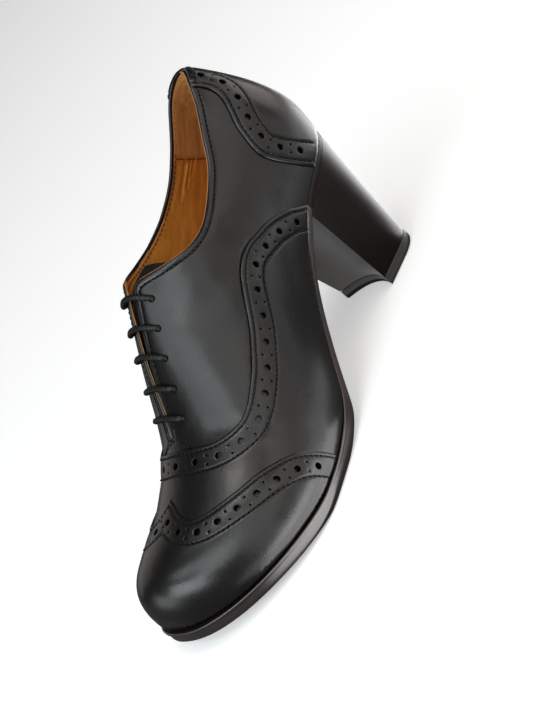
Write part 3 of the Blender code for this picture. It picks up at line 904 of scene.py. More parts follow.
def upper_half(side):
    """Triangles of one side of the upper."""
    feather_line = np.stack([np.linspace(0, 1, 330), np.full(330, 0.0 if side > 0 else 2.0)], -1)
    ridge_u = np.linspace(1, share_of(THROAT_END), 90)[1:-1]
    ridge_line = np.stack([ridge_u, np.ones(len(ridge_u))], -1)
    rim = even(TOP[side], RIM_STEP)[::-1]
    rim[0, 1] = 1.0
    seam_t = np.linspace(rim[-1, 1] if side > 0 else 2 - rim[-1, 1], 0, 60)[1:-1]
    seam_line = np.stack([np.zeros(len(seam_t)), seam_t if side > 0 else 2 - seam_t], -1)
    outline = np.concatenate([feather_line, ridge_line, rim, seam_line])
    if side < 0:
        outline[:, 1] = np.maximum(outline[:, 1], 1 + 1e-10)
    eyelets = [to_spots(*eyelet_place(station, side), side) for station, _ in EYELETS]
    rings = rings_round(eyelets, EYELET_RADIUS, EYELET_SIDES)
    halo = np.concatenate(rings_round(eyelets, EYELET_RADIUS, EYELET_SIDES, EYELET_HALOS))
    pits = np.concatenate(COLLAR_PITS[side])
    pit_rims = np.concatenate(rings_round(pits, PIT_RADIUS, PIT_SIDES))
    rows = band_spots(even(TOP[side], RIM_STEP), side, ROW_STEPS, TOP_POINTS[side])
    grip = np.concatenate([GRIP[side], band_spots(GRIP[side], 1, (0.5, 1.0), place(GRIP[side]))])
    inner = keep_clear(halo, 0.2, pits, *rings)
    inner = add_clear(inner, pit_rims, 0.15, outline, *rings)
    inner = add_clear(inner, rows, 0.3, outline, pits, *rings)
    inner = add_clear(inner, fork_spots(side), 0.3, outline, pits, *rings)
    inner = add_clear(inner, grip, 0.4, outline, *rings)
    if side < 0:
        inner = add_clear(inner, fold_spots(), 0.4, outline, *rings)
    inner = add_clear(inner, scatter(0.0, LAST_LENGTH - 0.6, side, 1.7), 1.0, outline, *rings)
    return triangles(outline, rings, inner, pits, False)


def covered(spots):
    """Where an overlay lies well over the upper, which sinks there a little below its holes."""
    u, t, _ = parts_of(spots)
    x = station_of(u)
    result = np.zeros(len(spots))
    for rows, sense in ((VAMP_EDGE, 1.0), (COUNTER_EDGE, -1.0)):
        edge = np.interp(t, [row[1] for row in rows], [row[0] for row in rows])
        inside = ease(2.5, 4.5, (x - edge) * sense)
        if sense < 0:
            inside = inside * (t < 0.78)
        result = np.maximum(result, inside)
    return result * ease(0.5, 3.0, height_of(spots)[0])


def quarter_lift(spots, points, d):
    """Height of the quarters: rolled collar edge, stitch groove, soft creases and the fork of the fronts."""
    lift = -0.25 * fall(d, 0.9) ** 2 - 0.26 * hump(d, COLLAR_ROW, 0.5)
    y = np.abs(points[:, 1] - smooth(CENTRE, station_of(spots[:, 0])))
    fork = ease(0.5, -0.5, y - straight(FORK, points[:, 0])) * ease(158.5, 160.5, points[:, 0])
    return lift - FORK_DEPTH * fork + crease_lift(points) - COVERED_DEPTH * covered(spots)


def lining_lift(spots, points, d):
    """Inside of the upper: thinner at the rim, thicker where the heel grip lies on it, softly folded."""
    lift = -WALL + 0.35 * fall(d, 1.2) ** 2 + 0.15 * hump(d, COLLAR_ROW, 0.4)
    lift -= 0.4 * ease(0.5, -0.5, before_grip(points)) * ease(0.5, 2.5, d)
    wave = np.sin(points[:, 0] * 0.21 + points[:, 2] * 0.09) * np.sin(points[:, 2] * 0.13 + 1.0)
    lift += 0.12 * wave * ease(1.0, 6.0, d)
    medial = parts_of(spots)[2] < 0
    for *ends, depth, half in LINING_FOLDS:
        near = distance_to(points, rib(*between(*ends), -1))
        lift += medial * depth * (hump(near, 0.0, half) - 0.6 * hump(near, 2.0 * half, half))
    return lift


def make_upper():
    """Both sides welded into one wall, with the lining and the heel grip as its inside."""
    (spots, tri, label), (more, more_tri, more_label) = (upper_half(side) for side in SIDES)
    spots, tri, label = weld(np.concatenate([spots, more]), np.concatenate([tri, more_tri + len(spots)]),
                             np.concatenate([label, more_label]))
    base = place(spots)
    d = from_top(spots, base)
    outer = quarter_lift(spots, base, d) - PIT_DEPTH * (label < 0)
    inner = lining_lift(spots, base, d)
    inside = np.where(before_grip(base[tri].mean(1)) < 0, 3, 2)
    turned = (base[:, 0] < FACING_FROM) & (parts_of(spots)[2] < 0)
    to_rim = distance_to(base, TOP_POINTS[-1])[tri].max(1)
    for reach, slot in ((1.25, 1), (0.75, 0)):
        inside = np.where(turned[tri].all(1) & (to_rim < reach), slot, inside)
    return leather_wall("upper_quarters", spots, tri, label, outer, inner, TURNED_RIM,
                        (BLACK_LEATHER, RAW_EDGE, LINING, SUEDE), inside, turned)


stand_for(make_upper(), "upper")

# Overlays with their punched bands
BAND_OFFSETS = (0.22, 0.5, 0.85, 1.2, 1.5, 1.8, 2.1, 2.45, 3.0, 3.8, 4.6, 5.4, 6.2, 7.0, 7.8, 8.6,
                9.3, 9.7, 9.95, 10.2, 10.45, 10.75, 11.2, 11.9, 12.8)


def ridge_holes(first, count):
    """Places of the large holes on a band over the ridge, the same from both ends."""
    def places(length):
        reach = first + np.arange(count + 1) * (length / 2 - first) / count
        return np.unique(np.round(np.concatenate([reach, length - reach]), 4))
    return places


def collar_holes(length):
    """Places of the large holes on a band that ends at the collar."""
    span = length - COUNTER_LAST - COUNTER_FIRST
    return COUNTER_FIRST + np.arange(COUNTER_HOLES + 1) * span / COUNTER_HOLES


def band_holes(line, sense, edge_points, places):
    """Centres of the large holes along a band, and of the pairs of pinholes between them."""
    (centre, good), = band_rows(line, sense, (BAND_BIG,), edge_points)
    run = run_of(place(centre[good]))
    big_at = places(run[-1])
    pins_at = (big_at[1:] + big_at[:-1]) / 2
    pins = [at_lengths(pins_at, run, row[good]) for row, _ in band_rows(line, sense, BAND_PINS, edge_points)]
    return at_lengths(big_at, run, centre[good]), np.concatenate(pins)


def band_relief(d, points):
    """Edge, stitch grooves and creases of an overlay, by distance from its edge."""
    lift = -0.28 * fall(d, 1.6) ** 2 - 0.16 * fall(d, 0.3)
    for row in BAND_ROWS:
        lift -= 0.30 * hump(d, row, 0.5)
    return lift + 0.10 * hump(d, sum(BAND_ROWS) / 2, 2.6) + crease_lift(points)


def overlay(name, node, outline, edges, edge_points, places, needle_pits, coarse, lift, under,
            at_collar=False):
    """Leather overlay with a punched band along its edges, given as lines and their inward senses."""
    holes = [band_holes(line, sense, edge_points, places) for line, sense in edges]
    big, pins = (np.concatenate(group) for group in zip(*holes))
    pits = np.concatenate(needle_pits)
    pit_rims = np.concatenate(rings_round(pits, PIT_RADIUS, PIT_SIDES))
    rings = rings_round(big, BIG_HOLE, BIG_SIDES) + rings_round(pins, PIN_HOLE, PIN_SIDES)
    halo = rings_round(big, BIG_HOLE, BIG_SIDES, BIG_HALOS)
    if not at_collar:
        halo += rings_round(pins, PIN_HOLE, PIN_SIDES, PIN_HALOS)
    rows = np.concatenate([band_spots(line, sense, BAND_OFFSETS, edge_points) for line, sense in edges])
    rows = keep_clear(keep_clear(rows, BIG_HOLE, big), PIN_HOLE, pins)
    inner = keep_clear(np.concatenate(halo), 0.18, outline, *rings)
    inner = add_clear(inner, pit_rims, 0.15, outline, *rings)
    inner = add_clear(inner, rows, 0.26, outline, pits, *rings)
    inner = add_clear(inner, keep_clear(coarse, BIG_HOLE, big), 0.9, outline, *rings)
    spots, tri, label = weld(*triangles(outline, rings, inner, pits, not at_collar))
    base = place(spots)
    foot = ease(-0.2, 1.7, height_of(spots)[0])
    top = (lift + band_relief(distance_to(base, edge_points), base)) * (0.45 + 0.55 * foot)
    top -= 0.1 * (label > 0) + PIT_DEPTH * (label < 0)
    bottom = under * foot
    least = 0.2
    if at_collar:
        d = from_top(spots, base)
        top -= 0.75 * fall(d, 2.2) ** 2 + 0.2 * hump(d, COLLAR_ROW, 0.4)
        bottom -= 1.1 * ease(2.0, 0.4, d)
        least = 0.25
    bottom = np.minimum(top - least, bottom)
    stand_for(leather_wall(name, spots, tri, label, top, bottom, CUT_RIM, (BLACK_LEATHER,), 0), node)


def feather_run(first, last, side):
    """Spots along the feather line between two stations."""
    u = np.linspace(share_of(first), share_of(last), 400)
    return even(np.stack([u, np.full(400, 0.0 if side > 0 else 2.0)], -1), 0.8)


def both_scatters(first, last):
    return np.concatenate([scatter(first, last, side, FILL_STEP) for side in SIDES])


vamp_edge = both_sides(VAMP_EDGE, BAND_STEP)
wing_edge = both_sides(WING_EDGE, BAND_STEP)
vamp_points, wing_points = place(vamp_edge), place(wing_edge)
underlap = walk(wing_edge, line_way(wing_edge, 1.0), UNDERLAP)
underlap = underlap[distance_to(place(underlap), wing_points) > UNDERLAP - 0.15]
underlap[0, 1] = 0.0
underlap[-1, 1] = 2.0
lap_lateral, lap_medial = station_of(underlap[[0, -1], 0])
vamp_from, wing_from, counter_from = VAMP_EDGE[0][0], WING_EDGE[0][0], COUNTER_EDGE[0][0]
vamp_outline = np.concatenate([
    vamp_edge, feather_run(vamp_from, lap_medial, -1)[1:], underlap[::-1][1:],
    feather_run(lap_lateral, vamp_from, 1)[1:-1]])
vamp_pits = needle_rows(vamp_edge, 1.0, BAND_ROWS, vamp_points)
overlay("vamp", "vamp_overlay", vamp_outline, ((vamp_edge, 1.0),), vamp_points,
        ridge_holes(VAMP_FIRST, VAMP_HOLES), vamp_pits, both_scatters(45.0, 205.0),
        GAP + VAMP_THICK, VAMP_UNDER)

wing_outline = np.concatenate([
    wing_edge, feather_run(wing_from, LAST_LENGTH, -1)[1:], feather_run(LAST_LENGTH, wing_from, 1)[1:-1]])
wing_pits = needle_rows(wing_edge, 1.0, BAND_ROWS, wing_points)
overlay("wing_tip", "wing_cap", wing_outline, ((wing_edge, 1.0),), wing_points,
        ridge_holes(WING_FIRST, WING_HOLES), wing_pits, both_scatters(140.0, LAST_LENGTH - 0.4),
        GAP + WING_THICK, WING_UNDER)


def counter_side(side):
    """Counter edge of one side, from the feather line up to the collar."""
    line = pattern(COUNTER_EDGE, side, 0.3)
    points = place(line)
    below = smooth(COLLAR, points[:, 0]) - points[:, 2] > 0.25
    return even(line[:int(np.argmin(below))], BAND_STEP)


def collar_run(line, side):
    """Collar from the end of a counter edge to the heel seam, just inside the upper's edge."""
    x = station_of(np.linspace(line[-1, 0], 0, 60))
    t = np.array([top_share(v, side) for v in x]) - 0.004
    t[0] = parts_of(line[-1:])[1][0]
    return to_spots(x, t, side)


counter_edge = {side: counter_side(side) for side in SIDES}
lateral, medial = counter_edge[1], counter_edge[-1]
counter_outline = np.concatenate([
    feather_run(0.0, counter_from, 1)[:-1], lateral, collar_run(lateral, 1)[1:],
    collar_run(medial, -1)[::-1][1:-1], medial[::-1], feather_run(counter_from, 0.0, -1)[1:-1]])
counter_points = np.concatenate([place(lateral), place(medial[::-1])])
counter_pits = []
for side, line in counter_edge.items():
    for row in needle_rows(line, -side, BAND_ROWS, counter_points):
        counter_pits.append(row[distance_to(place(row), TOP_POINTS[side]) > COLLAR_ROW + 0.8])
    for row in needle_rows(even(TOP[side], RIM_STEP), side, (COLLAR_ROW,), TOP_POINTS[side]):
        counter_pits.append(row[row[:, 0] < line[-1, 0] - 0.004])
counter_pits = [row for row in counter_pits if len(row) > 2]
overlay("counter", "heel_counter", counter_outline, ((lateral, -1.0), (medial, 1.0)), counter_points,
        collar_holes, counter_pits, both_scatters(0.2, 50.0), GAP + COUNTER_THICK, COUNTER_UNDER, True)


# Stitching
def tube_faces(start, count, sides):
    """Faces of a closed tube of rings of points."""
    last = start + (count - 1) * sides
    faces = [tuple(start + k for k in range(sides)), tuple(last + k for k in reversed(range(sides)))]
    for low in range(start, last, sides):
        for k in range(sides):
            m = (k + 1) % sides
            faces.append((low + k, low + sides + k, low + sides + m, low + m))
    return faces


# One stitch: share of the way between two needle pits, rise in millimetres, size of the thread.
STITCH = (
    (-0.42, -0.55, 0.7), (-0.32, -0.06, 0.95), (0.0, 0.12, 1.08), (0.32, -0.06, 0.95), (0.42, -0.55, 0.7))
STITCH_SIDES = 6


def stitch_mesh(rows):
    """Joined mesh of single stitches. Each row is points of the needle pits and normals there."""
    points, faces = [], []
    turn = np.arange(STITCH_SIDES) * 2 * math.pi / STITCH_SIDES
    for pits, normals in rows:
        for first, second, n in zip(pits[:-1], pits[1:], normals):
            d = second - first
            a = unit(np.cross(n, d))
            faces += tube_faces(len(points), len(STITCH), STITCH_SIDES)
            for along, rise, size in STITCH:
                mid = (first + second) / 2 + d * along + n * rise
                for angle in turn:
                    points.append(mid + (a * math.cos(angle) + n * math.sin(angle)) * THREAD_RADIUS * size)
    return np.array(points), faces


def stitch_rows(rows, lift, sense=1.0):
    return [(place(row, lift), slopes(row)[2] * sense) for row in rows]


sewn = stitch_rows(vamp_pits, GAP + VAMP_THICK - BAND_SUNK)
sewn += stitch_rows(wing_pits, GAP + WING_THICK - BAND_SUNK)
sewn += stitch_rows(counter_pits, GAP + COUNTER_THICK - COUNTER_SUNK)
lined = []
for side in SIDES:
    ahead = counter_edge[side][-1, 0] + 0.003
    sewn += stitch_rows([row[row[:, 0] > ahead] for row in COLLAR_PITS[side]], -COLLAR_SUNK)
    row = walk(GRIP[side], line_way(GRIP[side], side), 1.4)
    points = place(row)
    keep = (height_of(row)[0] > 4.0) & (points[:, 2] < smooth(COLLAR, points[:, 0]) - 2.5)
    lined += stitch_rows([even(part, GRIP_PITCH) for part in runs(row, keep)], -WALL - 0.1, -1.0)
for side in SIDES:
    lined += stitch_rows(COLLAR_PITS[side], -WALL + 0.12, -1.0)
stitching = add_mesh("stitching", *stitch_mesh(sewn), materials=(BLACK_THREAD,), sharp=80)
lining_stitching = add_mesh("lining_stitching", *stitch_mesh(lined), materials=(TAN_THREAD,), sharp=80)


# Sole, heel, insole and tongue as closed lofts
def loft(name, layers, materials, slots_of=None, sharp=60.0):
    """Closed solid from a top grid, rings between and a bottom grid."""
    bm = bmesh.new()

    def grid_faces(points):
        rows, cols = points.shape[:2]
        verts = [[bm.verts.new(points[i, k]) for k in range(cols)] for i in range(rows)]
        for i in range(rows - 1):
            for k in range(cols - 1):
                bm.faces.new((verts[i][k], verts[i + 1][k], verts[i + 1][k + 1], verts[i][k + 1]))

    grid_faces(layers[0])
    grid_faces(layers[-1])
    rings = [np.concatenate([g[:, 0], g[-1, 1:], g[-2::-1, -1], g[0, -2:0:-1]]) for g in layers]
    grid_faces(np.stack([np.concatenate([r, r[:1]]) for r in rings]))
    bmesh.ops.remove_doubles(bm, verts=bm.verts, dist=0.002)
    bmesh.ops.dissolve_degenerate(bm, edges=bm.edges, dist=0.002)
    bmesh.ops.recalc_face_normals(bm, faces=bm.faces)
    bm.verts.index_update()
    points = np.array([v.co for v in bm.verts])
    faces = [[v.index for v in f.verts] for f in bm.faces]
    slots = None
    if slots_of is not None:
        slots = [slots_of(f.calc_center_median(), f.normal) for f in bm.faces]
    bm.free()
    return add_mesh(name, points, faces, slots, materials, sharp)


def across(lateral, medial, count):
    """Grid of points from a lateral line to a medial line."""
    s = np.linspace(0, 1, count)[None, :, None]
    return lateral[:, None] * (1 - s) + medial[:, None] * s


def feather(x, side, out):
    """Feather line seen from above, set out by a distance along its normal."""
    u = share_of(x)
    e = 0.002
    ahead = rib(station_of(np.clip(u + e, 0, 1)), 0.0 * x, side)
    step = ahead - rib(station_of(np.clip(u - e, 0, 1)), 0.0 * x, side)
    normal = unit(np.stack([-step[:, 1], step[:, 0], 0 * x], -1) * side)
    normal[x < 1e-6] = (-1.0, 0.0, 0.0)
    normal[x > LAST_LENGTH - 1e-6] = (1.0, 0.0, 0.0)
    return rib(x, 0.0 * x, side) + normal * np.asarray(out)[:, None]


def feather_grid(x, out, count):
    return across(feather(x, 1, out), feather(x, -1, out), count)


sole_x = station_of(np.linspace(0, 1, 241))
# Side of the sole from the feather line outwards and down: inset from the edge, drop as a share of the
# thickness, drop in millimetres. Inset and drop in millimetres only count at the forefoot.
SOLE_PROFILE = (
    (4.2, 0.0, 0.9), (1.4, 0.0, 0.9), (1.2, 0.0, 0.75), (1.05, 0.0, 0.2), (0.85, 0.0, 0.05),
    (0.5, 0.0, 0.0), (0.15, 0.02, 0.0), (0.0, 0.07, 0.0), (0.0, 0.20, 0.0), (0.12, 0.235, 0.0),
    (0.5, 0.25, 0.0), (0.5, 0.28, 0.0), (0.40, 0.45, 0.0), (0.28, 0.65, 0.0), (0.18, 0.83, 0.0),
    (0.26, 0.92, 0.0), (0.6, 0.98, 0.0), (1.1, 1.0, 0.0),
)
HEEL_FINISH_TO = 50.5
DOWN_FACING = -0.8
BREAST_FACING = 0.72


def sole_layer(inset, share, drop):
    """Layer of the sole, plain at the waist and shaped where its edge stands out."""
    extra = smooth(EDGE, sole_x)
    weight = np.clip((extra - 0.3) / 1.4, 0, 1)
    out = extra - weight * inset - 0.12 * (1 - weight) * (4 * (share - 0.5) ** 2)
    grid = feather_grid(sole_x, out, 9)
    top = section("seat", sole_x) - GAP
    bottom = np.maximum(smooth(TREAD, sole_x), 0.0)
    grid[:, :, 2] = (top * (1 - share) + bottom * share - drop * weight)[:, None]
    return grid


def sole_slot(spot, normal):
    """Edge of the forefoot, tread below, and the layer over the heel."""
    if normal.z < DOWN_FACING:
        return 1
    return 2 if spot.x < HEEL_FINISH_TO else 0


sole_layers = [sole_layer(*row) for row in SOLE_PROFILE]
stand_for(loft("sole", sole_layers, (SOLE_EDGE, TREAD_FACE, STACKED), sole_slot), "outsole")

heel_turn = np.linspace(0, 1, 61) * math.pi / 2
heel_x = BREAST_STATION * np.cos(heel_turn) ** 2


def heel_grid(share):
    """Grid across the heel at a share of its height from the seat to the tip."""
    edge = smooth(EDGE, heel_x)
    seat_l, seat_m = feather(heel_x, 1, edge), feather(heel_x, -1, edge)
    tip_x = TIP_BACK + (TIP_BREAST - TIP_BACK) * np.cos(heel_turn) ** 2
    tip_y = TIP_HALF_WIDTH * rounded(1 - (tip_x - TIP_BACK) / TIP_ROUND, TIP_POWER)
    tip = np.stack([tip_x, tip_y, 0 * tip_x], -1)
    k = share + HEEL_WAIST * math.sin(math.pi * share)
    grid = across(seat_l * (1 - k) + tip * k, seat_m * (1 - k) + tip * np.array([1.0, -1.0, 1.0]) * k, 21)
    hollow = BREAST_HOLLOW * (1 - np.linspace(-1, 1, 21) ** 2)
    grid[:, :, 0] -= hollow[None, :] * (np.cos(heel_turn) ** 2)[:, None]
    seat = smooth(TREAD, heel_x)[:, None] + 0.05
    grid[:, :, 2] = seat * (1 - share) + (LIFT_THICK + GAP) * share
    return grid


def heel_slot(spot, normal):
    return 1 if normal.x > BREAST_FACING else 0


heel = loft("heel", [heel_grid(k) for k in np.linspace(0, 1, 33)], (STACKED, BREAST), heel_slot, 50)
stand_for(heel, "heel_block")


def lift_layer(z, inset):
    """Layer of the top lift at a height, drawn in from the heel's tip."""
    grid = heel_grid(1.0)
    middle = np.array([(TIP_BACK + TIP_BREAST) / 2, 0.0, 0.0])
    grid = middle + (grid - middle) * (1 - inset / TIP_HALF_WIDTH)
    grid[:, :, 2] = z
    return grid


# Side of the top lift: height, inset.
LIFT_PROFILE = (
    (LIFT_THICK, 0.35), (LIFT_THICK - 0.2, 0.08), (LIFT_THICK - 0.5, 0.0), (2.5, 0.0),
    (0.9, 0.02), (0.35, 0.15), (0.1, 0.35), (0.0, 0.6),
)
stand_for(loft("top_lift", [lift_layer(*row) for row in LIFT_PROFILE], (RUBBER,)), "heel_top_lift")

insole_x = station_of(np.linspace(0.03, 0.965, 121))
# Side of the insole: height over the seat, inset from the feather line, depth of the dish at the top.
INSOLE_PROFILE = (
    (INSOLE_THICK, INSOLE_INSET + 0.5, 0.4), (INSOLE_THICK - 0.25, INSOLE_INSET + 0.1, 0.4),
    (1.0, INSOLE_INSET, 0.0), (0.0, INSOLE_INSET, 0.0),
)


def insole_layer(rise, inset, dish):
    """Layer of the insole, its top dished across."""
    grid = feather_grid(insole_x, 0 * insole_x - inset, 25)
    bowl = 1.25 * dish * np.linspace(-1, 1, 25)[None, :] ** 2 - dish
    grid[:, :, 2] = section("seat", insole_x)[:, None] + rise + bowl
    return grid


stand_for(loft("insole_sock", [insole_layer(*row) for row in INSOLE_PROFILE], (LINING,)), "insole")

tongue_x = np.linspace(122, 164, 43)
# Side of the tongue: depth below its outside, share trimmed from its edge.
TONGUE_PROFILE = ((0.0, 0.05), (0.12, 0.03), (0.5, 0.0), (TONGUE_THICK - 0.3, 0.0), (TONGUE_THICK, 0.03))
TONGUE_COLUMNS = 13


def tongue_face(depth, trim):
    """Layer of the tongue, its top end falling back into the opening."""
    halves = []
    top_x, top_y, top_z = TONGUE_TOP
    for side in SIDES:
        half = smooth(TONGUE, tongue_x)[:, None] * np.linspace(1 - trim, 0, TONGUE_COLUMNS)[None, :]
        body = place(to_spots(tongue_x[:, None], 1 - half, side), -TONGUE_UNDER - depth)
        start = body[0]
        bend = start + TONGUE_BEND * TONGUE_WAY
        y = start[:, 1]
        end = np.stack([top_x - 0.02 * y ** 2, 0.95 * y + top_y,
                        top_z - 0.035 * (y + 1.5) ** 2 - 0.8 * depth], -1)
        q = np.linspace(1.0 if trim == 0 else 0.98, 0.0, 19)[:-1, None, None]
        curl = start * (1 - q) ** 2 + bend * 2 * q * (1 - q) + end * q ** 2
        halves.append(np.concatenate([curl, body]))
    return np.concatenate([halves[0], halves[1][:, -2::-1]], axis=1)


stand_for(loft("tongue_flap", [tongue_face(*row) for row in TONGUE_PROFILE], (TONGUE_LEATHER,)), "tongue")


# Lace: five bars of round braided cord, each going down through its eyelets
def curve_through(path, step):
    """Even points on a smooth curve through a path."""
    path = np.array(path)
    run = run_of(path)
    fine = np.linspace(0, run[-1], 400)
    line = np.stack([smooth(list(zip(run, column)), fine) for column in path.T], -1)
    length = run_of(line)
    return at_lengths(np.linspace(0, length[-1], int(length[-1] / step) + 1), length, line)


def braid(path, radius, sides=20, strands=4, lay=3.6):
    """Round braided cord along a path, with crossing strands raised."""
    tangent = unit(np.gradient(path, axis=0))
    normal = np.empty_like(path)
    first = np.cross(tangent[0], np.array([1.0, 0.2, 0.1]))
    for i, t in enumerate(tangent):
        first = unit(first - t * np.dot(first, t))
        normal[i] = first
    second = np.cross(tangent, normal)
    run = run_of(path)[:, None]
    turn = (np.arange(sides) * 2 * math.pi / sides)[None, :]
    raised = np.maximum(np.cos(strands * turn + run * lay), np.cos(strands * turn - run * lay))
    size = radius * (0.92 + 0.12 * raised)
    points = path[:, None] + size[..., None] * (
        normal[:, None] * np.cos(turn)[..., None] + second[:, None] * np.sin(turn)[..., None])
    faces = [face[:1] + face[:0:-1] for face in tube_faces(0, len(path), sides)]
    return points.reshape(-1, 3), faces


# Sag of a bar from its eyelet to the ridge: share of the way, share of the sag.
BAR_SAG = {1: ((0.0, 0.0), (1.0, 0.65)), -1: ((0.0, 0.0), (0.22, 1.0), (1.0, 0.65))}
# Lift of a bar over the last, from its eyelet to the ridge: share of the way, lift.
OVER_RIDGE = ((0.6, 1.58), (0.82, 1.42), (1.0, 1.25))
BAR_LIFT = {
    1: ((0.0, -2.6), (0.0, -0.9), (0.0, 0.3), (0.10, 1.1), (0.32, 1.5), *OVER_RIDGE),
    -1: ((0.0, -2.6), (0.0, -0.9), (0.05, 0.3), (0.13, 1.15), (0.36, 1.55), *OVER_RIDGE),
}
for number, (station, sag) in enumerate(EYELETS, start=1):
    path = []
    middle = station - MEDIAL_SET_BACK / 2
    for side in SIDES:
        x, t = eyelet_place(station, side)
        leg = []
        for share, lift in BAR_LIFT[side]:
            bent = sag * straight(BAR_SAG[side], share)
            spot = to_spots(x + (middle - x) * share + bent, t + (1 - t) * share, side)
            leg.append(place(spot, lift))
        path += leg if side > 0 else leg[-2::-1]
    cord = braid(curve_through(path, 0.22), CORD_RADIUS)
    bar = add_mesh("lace_%d" % number, *cord, materials=(LACE_CORD,), sharp=80)
    stand_for(bar, "lace_bar_%d" % number)

# Floor: pale to the camera, darker to the leather, which would mirror it
FLOOR_HALF = 6.0
FLOOR_DROP = 0.0004
bm = bmesh.new()
bmesh.ops.create_grid(bm, x_segments=2, y_segments=2, size=FLOOR_HALF)
floor_mesh = bpy.data.meshes.new("floor")
bm.to_mesh(floor_mesh)
bm.free()
white, tree, bsdf = shader("white_floor")
set_inputs(bsdf, (("Base Color", (0.13, 0.13, 0.13, 1.0)), ("Roughness", 0.9), ("Specular IOR Level", 0.1)))
pale = add_node(tree, "ShaderNodeBsdfDiffuse", (("Color", (0.80, 0.80, 0.80, 1.0)),))
glow = add_node(tree, "ShaderNodeEmission", (("Color", (1.0, 1.0, 1.0, 1.0)), ("Strength", 0.42)))
both = add_node(tree, "ShaderNodeAddShader")
seen = add_node(tree, "ShaderNodeLightPath")
blend = add_node(tree, "ShaderNodeMixShader")
for start, end in (
        (pale.outputs["BSDF"], both.inputs[0]),
        (glow.outputs["Emission"], both.inputs[1]),
        (seen.outputs["Is Camera Ray"], blend.inputs["Fac"]),
        (bsdf.outputs["BSDF"], blend.inputs[1]),
        (both.outputs["Shader"], blend.inputs[2]),
        (blend.outputs["Shader"], tree.nodes["Material Output"].inputs["Surface"])):
    tree.links.new(start, end)
floor_mesh.materials.append(white)
floor = bpy.data.objects.new("floor", floor_mesh)
floor.location.z = -FLOOR_DROP
bpy.context.scene.collection.objects.link(floor)

# Studio: dim all round, a little brighter on the lateral side
world = bpy.data.worlds.new("studio")
bpy.context.scene.world = world
world.use_nodes = True
tree = world.node_tree
around = add_node(tree, "ShaderNodeTexCoord")
split = add_node(tree, "ShaderNodeSeparateXYZ")
tree.links.new(around.outputs["Generated"], split.inputs["Vector"])
half = add_node(tree, "ShaderNodeMapRange", (
    ("From Min", -0.35), ("From Max", 0.35), ("To Min", 0.05), ("To Max", 0.08)))
tree.links.new(split.outputs["Y"], half.inputs["Value"])
tree.links.new(half.outputs["Result"], tree.nodes["Background"].inputs["Strength"])
tree.nodes["Background"].inputs["Color"].default_value = (0.97, 0.985, 1.0, 1.0)

BOX_REACH = 1.3
BOX_CENTRE = Vector((0.0, 0.0, 0.04))
CARD_HEIGHT = 0.002
# Cool light from the front, warm light from the back
FRONT_LIGHT = math.radians(20.0)
COOL_LIGHT = (0.90, 0.985, 1.0)
WARM_LIGHT = (1.0, 0.93, 0.89)
WHITE_LIGHT = (1.0, 1.0, 1.0)


def panel(name, spot, turn, width, height, radiance, colour):
    """Light panel that the camera doesn't see."""
    data = bpy.data.lights.new(name, "AREA")
    data.shape = "RECTANGLE"
    data.size = width
    data.size_y = height
    data.energy = radiance * math.pi * width * height
    data.color = colour
    lamp = bpy.data.objects.new(name, data)
    lamp.location = spot
    lamp.rotation_euler = turn
    lamp.visible_camera = False
    bpy.context.scene.collection.objects.link(lamp)


# Panels round the shoe: name, azimuth from toe to lateral side, elevation, width, height, radiance.
SOFT_BOXES = (
    ("key", 23.0, 54.5, 1.24, 0.38, 2.7),
    ("front_side", 37.0, 37.0, 0.62, 0.46, 2.9),
    ("toe", 3.0, 23.0, 0.90, 0.48, 5.0),
    ("side", 78.0, 31.0, 0.95, 0.75, 1.3),
    ("side_back", 128.0, 27.0, 1.30, 0.62, 1.1),
    ("low_side", 70.0, 6.0, 0.60, 0.34, 1.2),
    ("low_back", 113.0, 5.0, 1.00, 0.30, 0.75),
    ("over", 108.0, 60.0, 1.10, 0.55, 1.05),
    ("ridge", 100.0, 77.0, 0.40, 0.40, 5.0),
    ("top", 0.0, 88.0, 0.60, 0.60, 0.75),
    ("back", 170.0, 7.0, 1.00, 0.50, 1.75),
    ("medial", 270.0, 20.0, 0.90, 0.90, 0.5),
    ("toe_medial", 330.0, 6.0, 0.65, 0.40, 2.0),
)
for name, azimuth, elevation, width, height, radiance in SOFT_BOXES:
    a, e = math.radians(azimuth), math.radians(elevation)
    spot = Vector((math.cos(a) * math.cos(e), math.sin(a) * math.cos(e), math.sin(e))) * BOX_REACH
    front = max(0.0, math.cos(a - FRONT_LIGHT))
    colour = [warm + (cool - warm) * front for warm, cool in zip(WARM_LIGHT, COOL_LIGHT)]
    turn = (-spot).to_track_quat("-Z", "Y").to_euler()
    panel(name, spot + BOX_CENTRE, turn, width, height, radiance, colour)

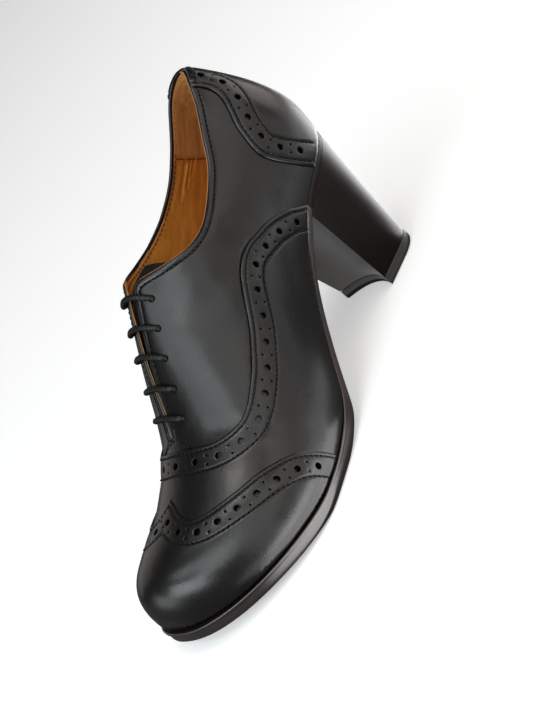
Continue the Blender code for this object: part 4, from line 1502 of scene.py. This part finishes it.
# Bounce cards on the floor: name, place along and across, width, depth, radiance.
FLOOR_CARDS = (
    ("ball", 0.055, 0.12, 0.10, 0.10, 6.0),
    ("ball_edges", 0.045, 0.11, 0.20, 0.11, 1.5),
    ("sole_edge", 0.05, 0.052, 0.10, 0.018, 3.2),
    ("back", -0.36, 0.0, 0.29, 0.15, 2.9),
    ("back_side", -0.40, 0.21, 0.36, 0.26, 1.7),
    ("heel_back", -0.165, -0.035, 0.13, 0.10, 3.6),
    ("heel_side", -0.14, 0.21, 0.22, 0.14, 0.5),
    ("waist", -0.105, 0.20, 0.09, 0.12, 1.1),
    ("far_back", -0.72, 0.86, 0.60, 0.50, 1.5),
    ("arch", -0.065, -0.045, 0.08, 0.11, 0.6),
    ("behind", -0.33, -0.22, 0.34, 0.26, 1.6),
)
for name, x, y, width, depth, radiance in FLOOR_CARDS:
    panel(name, (x, y, CARD_HEIGHT), (math.pi, 0.0, 0.0), width, depth, radiance, WHITE_LIGHT)

# The photograph's view of the shoe, in the frame of the last: axes to the right, down and ahead
VIEW_RIGHT = np.array([-0.43549, 0.49656, -0.75085])
VIEW_DOWN = np.array([0.78806, -0.19286, -0.58461])
VIEW_AHEAD = np.array([-0.43510, -0.84631, -0.30733])
EYE = np.array([476.9, 651.7, 354.4])
AIM_RIGHT = 0.0990
AIM_DOWN = 0.0253
LENS = 98.0
ahead = unit(VIEW_AHEAD + VIEW_RIGHT * AIM_RIGHT + VIEW_DOWN * AIM_DOWN)
turn = Vector(VIEW_AHEAD).rotation_difference(Vector(ahead)).to_matrix()
right = turn @ Vector(VIEW_RIGHT)
up = turn @ Vector(-VIEW_DOWN)
camera_data = bpy.data.cameras.new("camera")
camera_data.lens = LENS
camera_data.clip_end = 50.0
camera = bpy.data.objects.new("camera", camera_data)
camera.matrix_world = Matrix.Translation(Vector((EYE - ORIGIN) * MM)) @ Matrix(
    (right, up, -Vector(ahead))).transposed().to_4x4()
bpy.context.scene.collection.objects.link(camera)
bpy.context.scene.camera = camera
bpy.context.scene.view_settings.view_transform = "Standard"
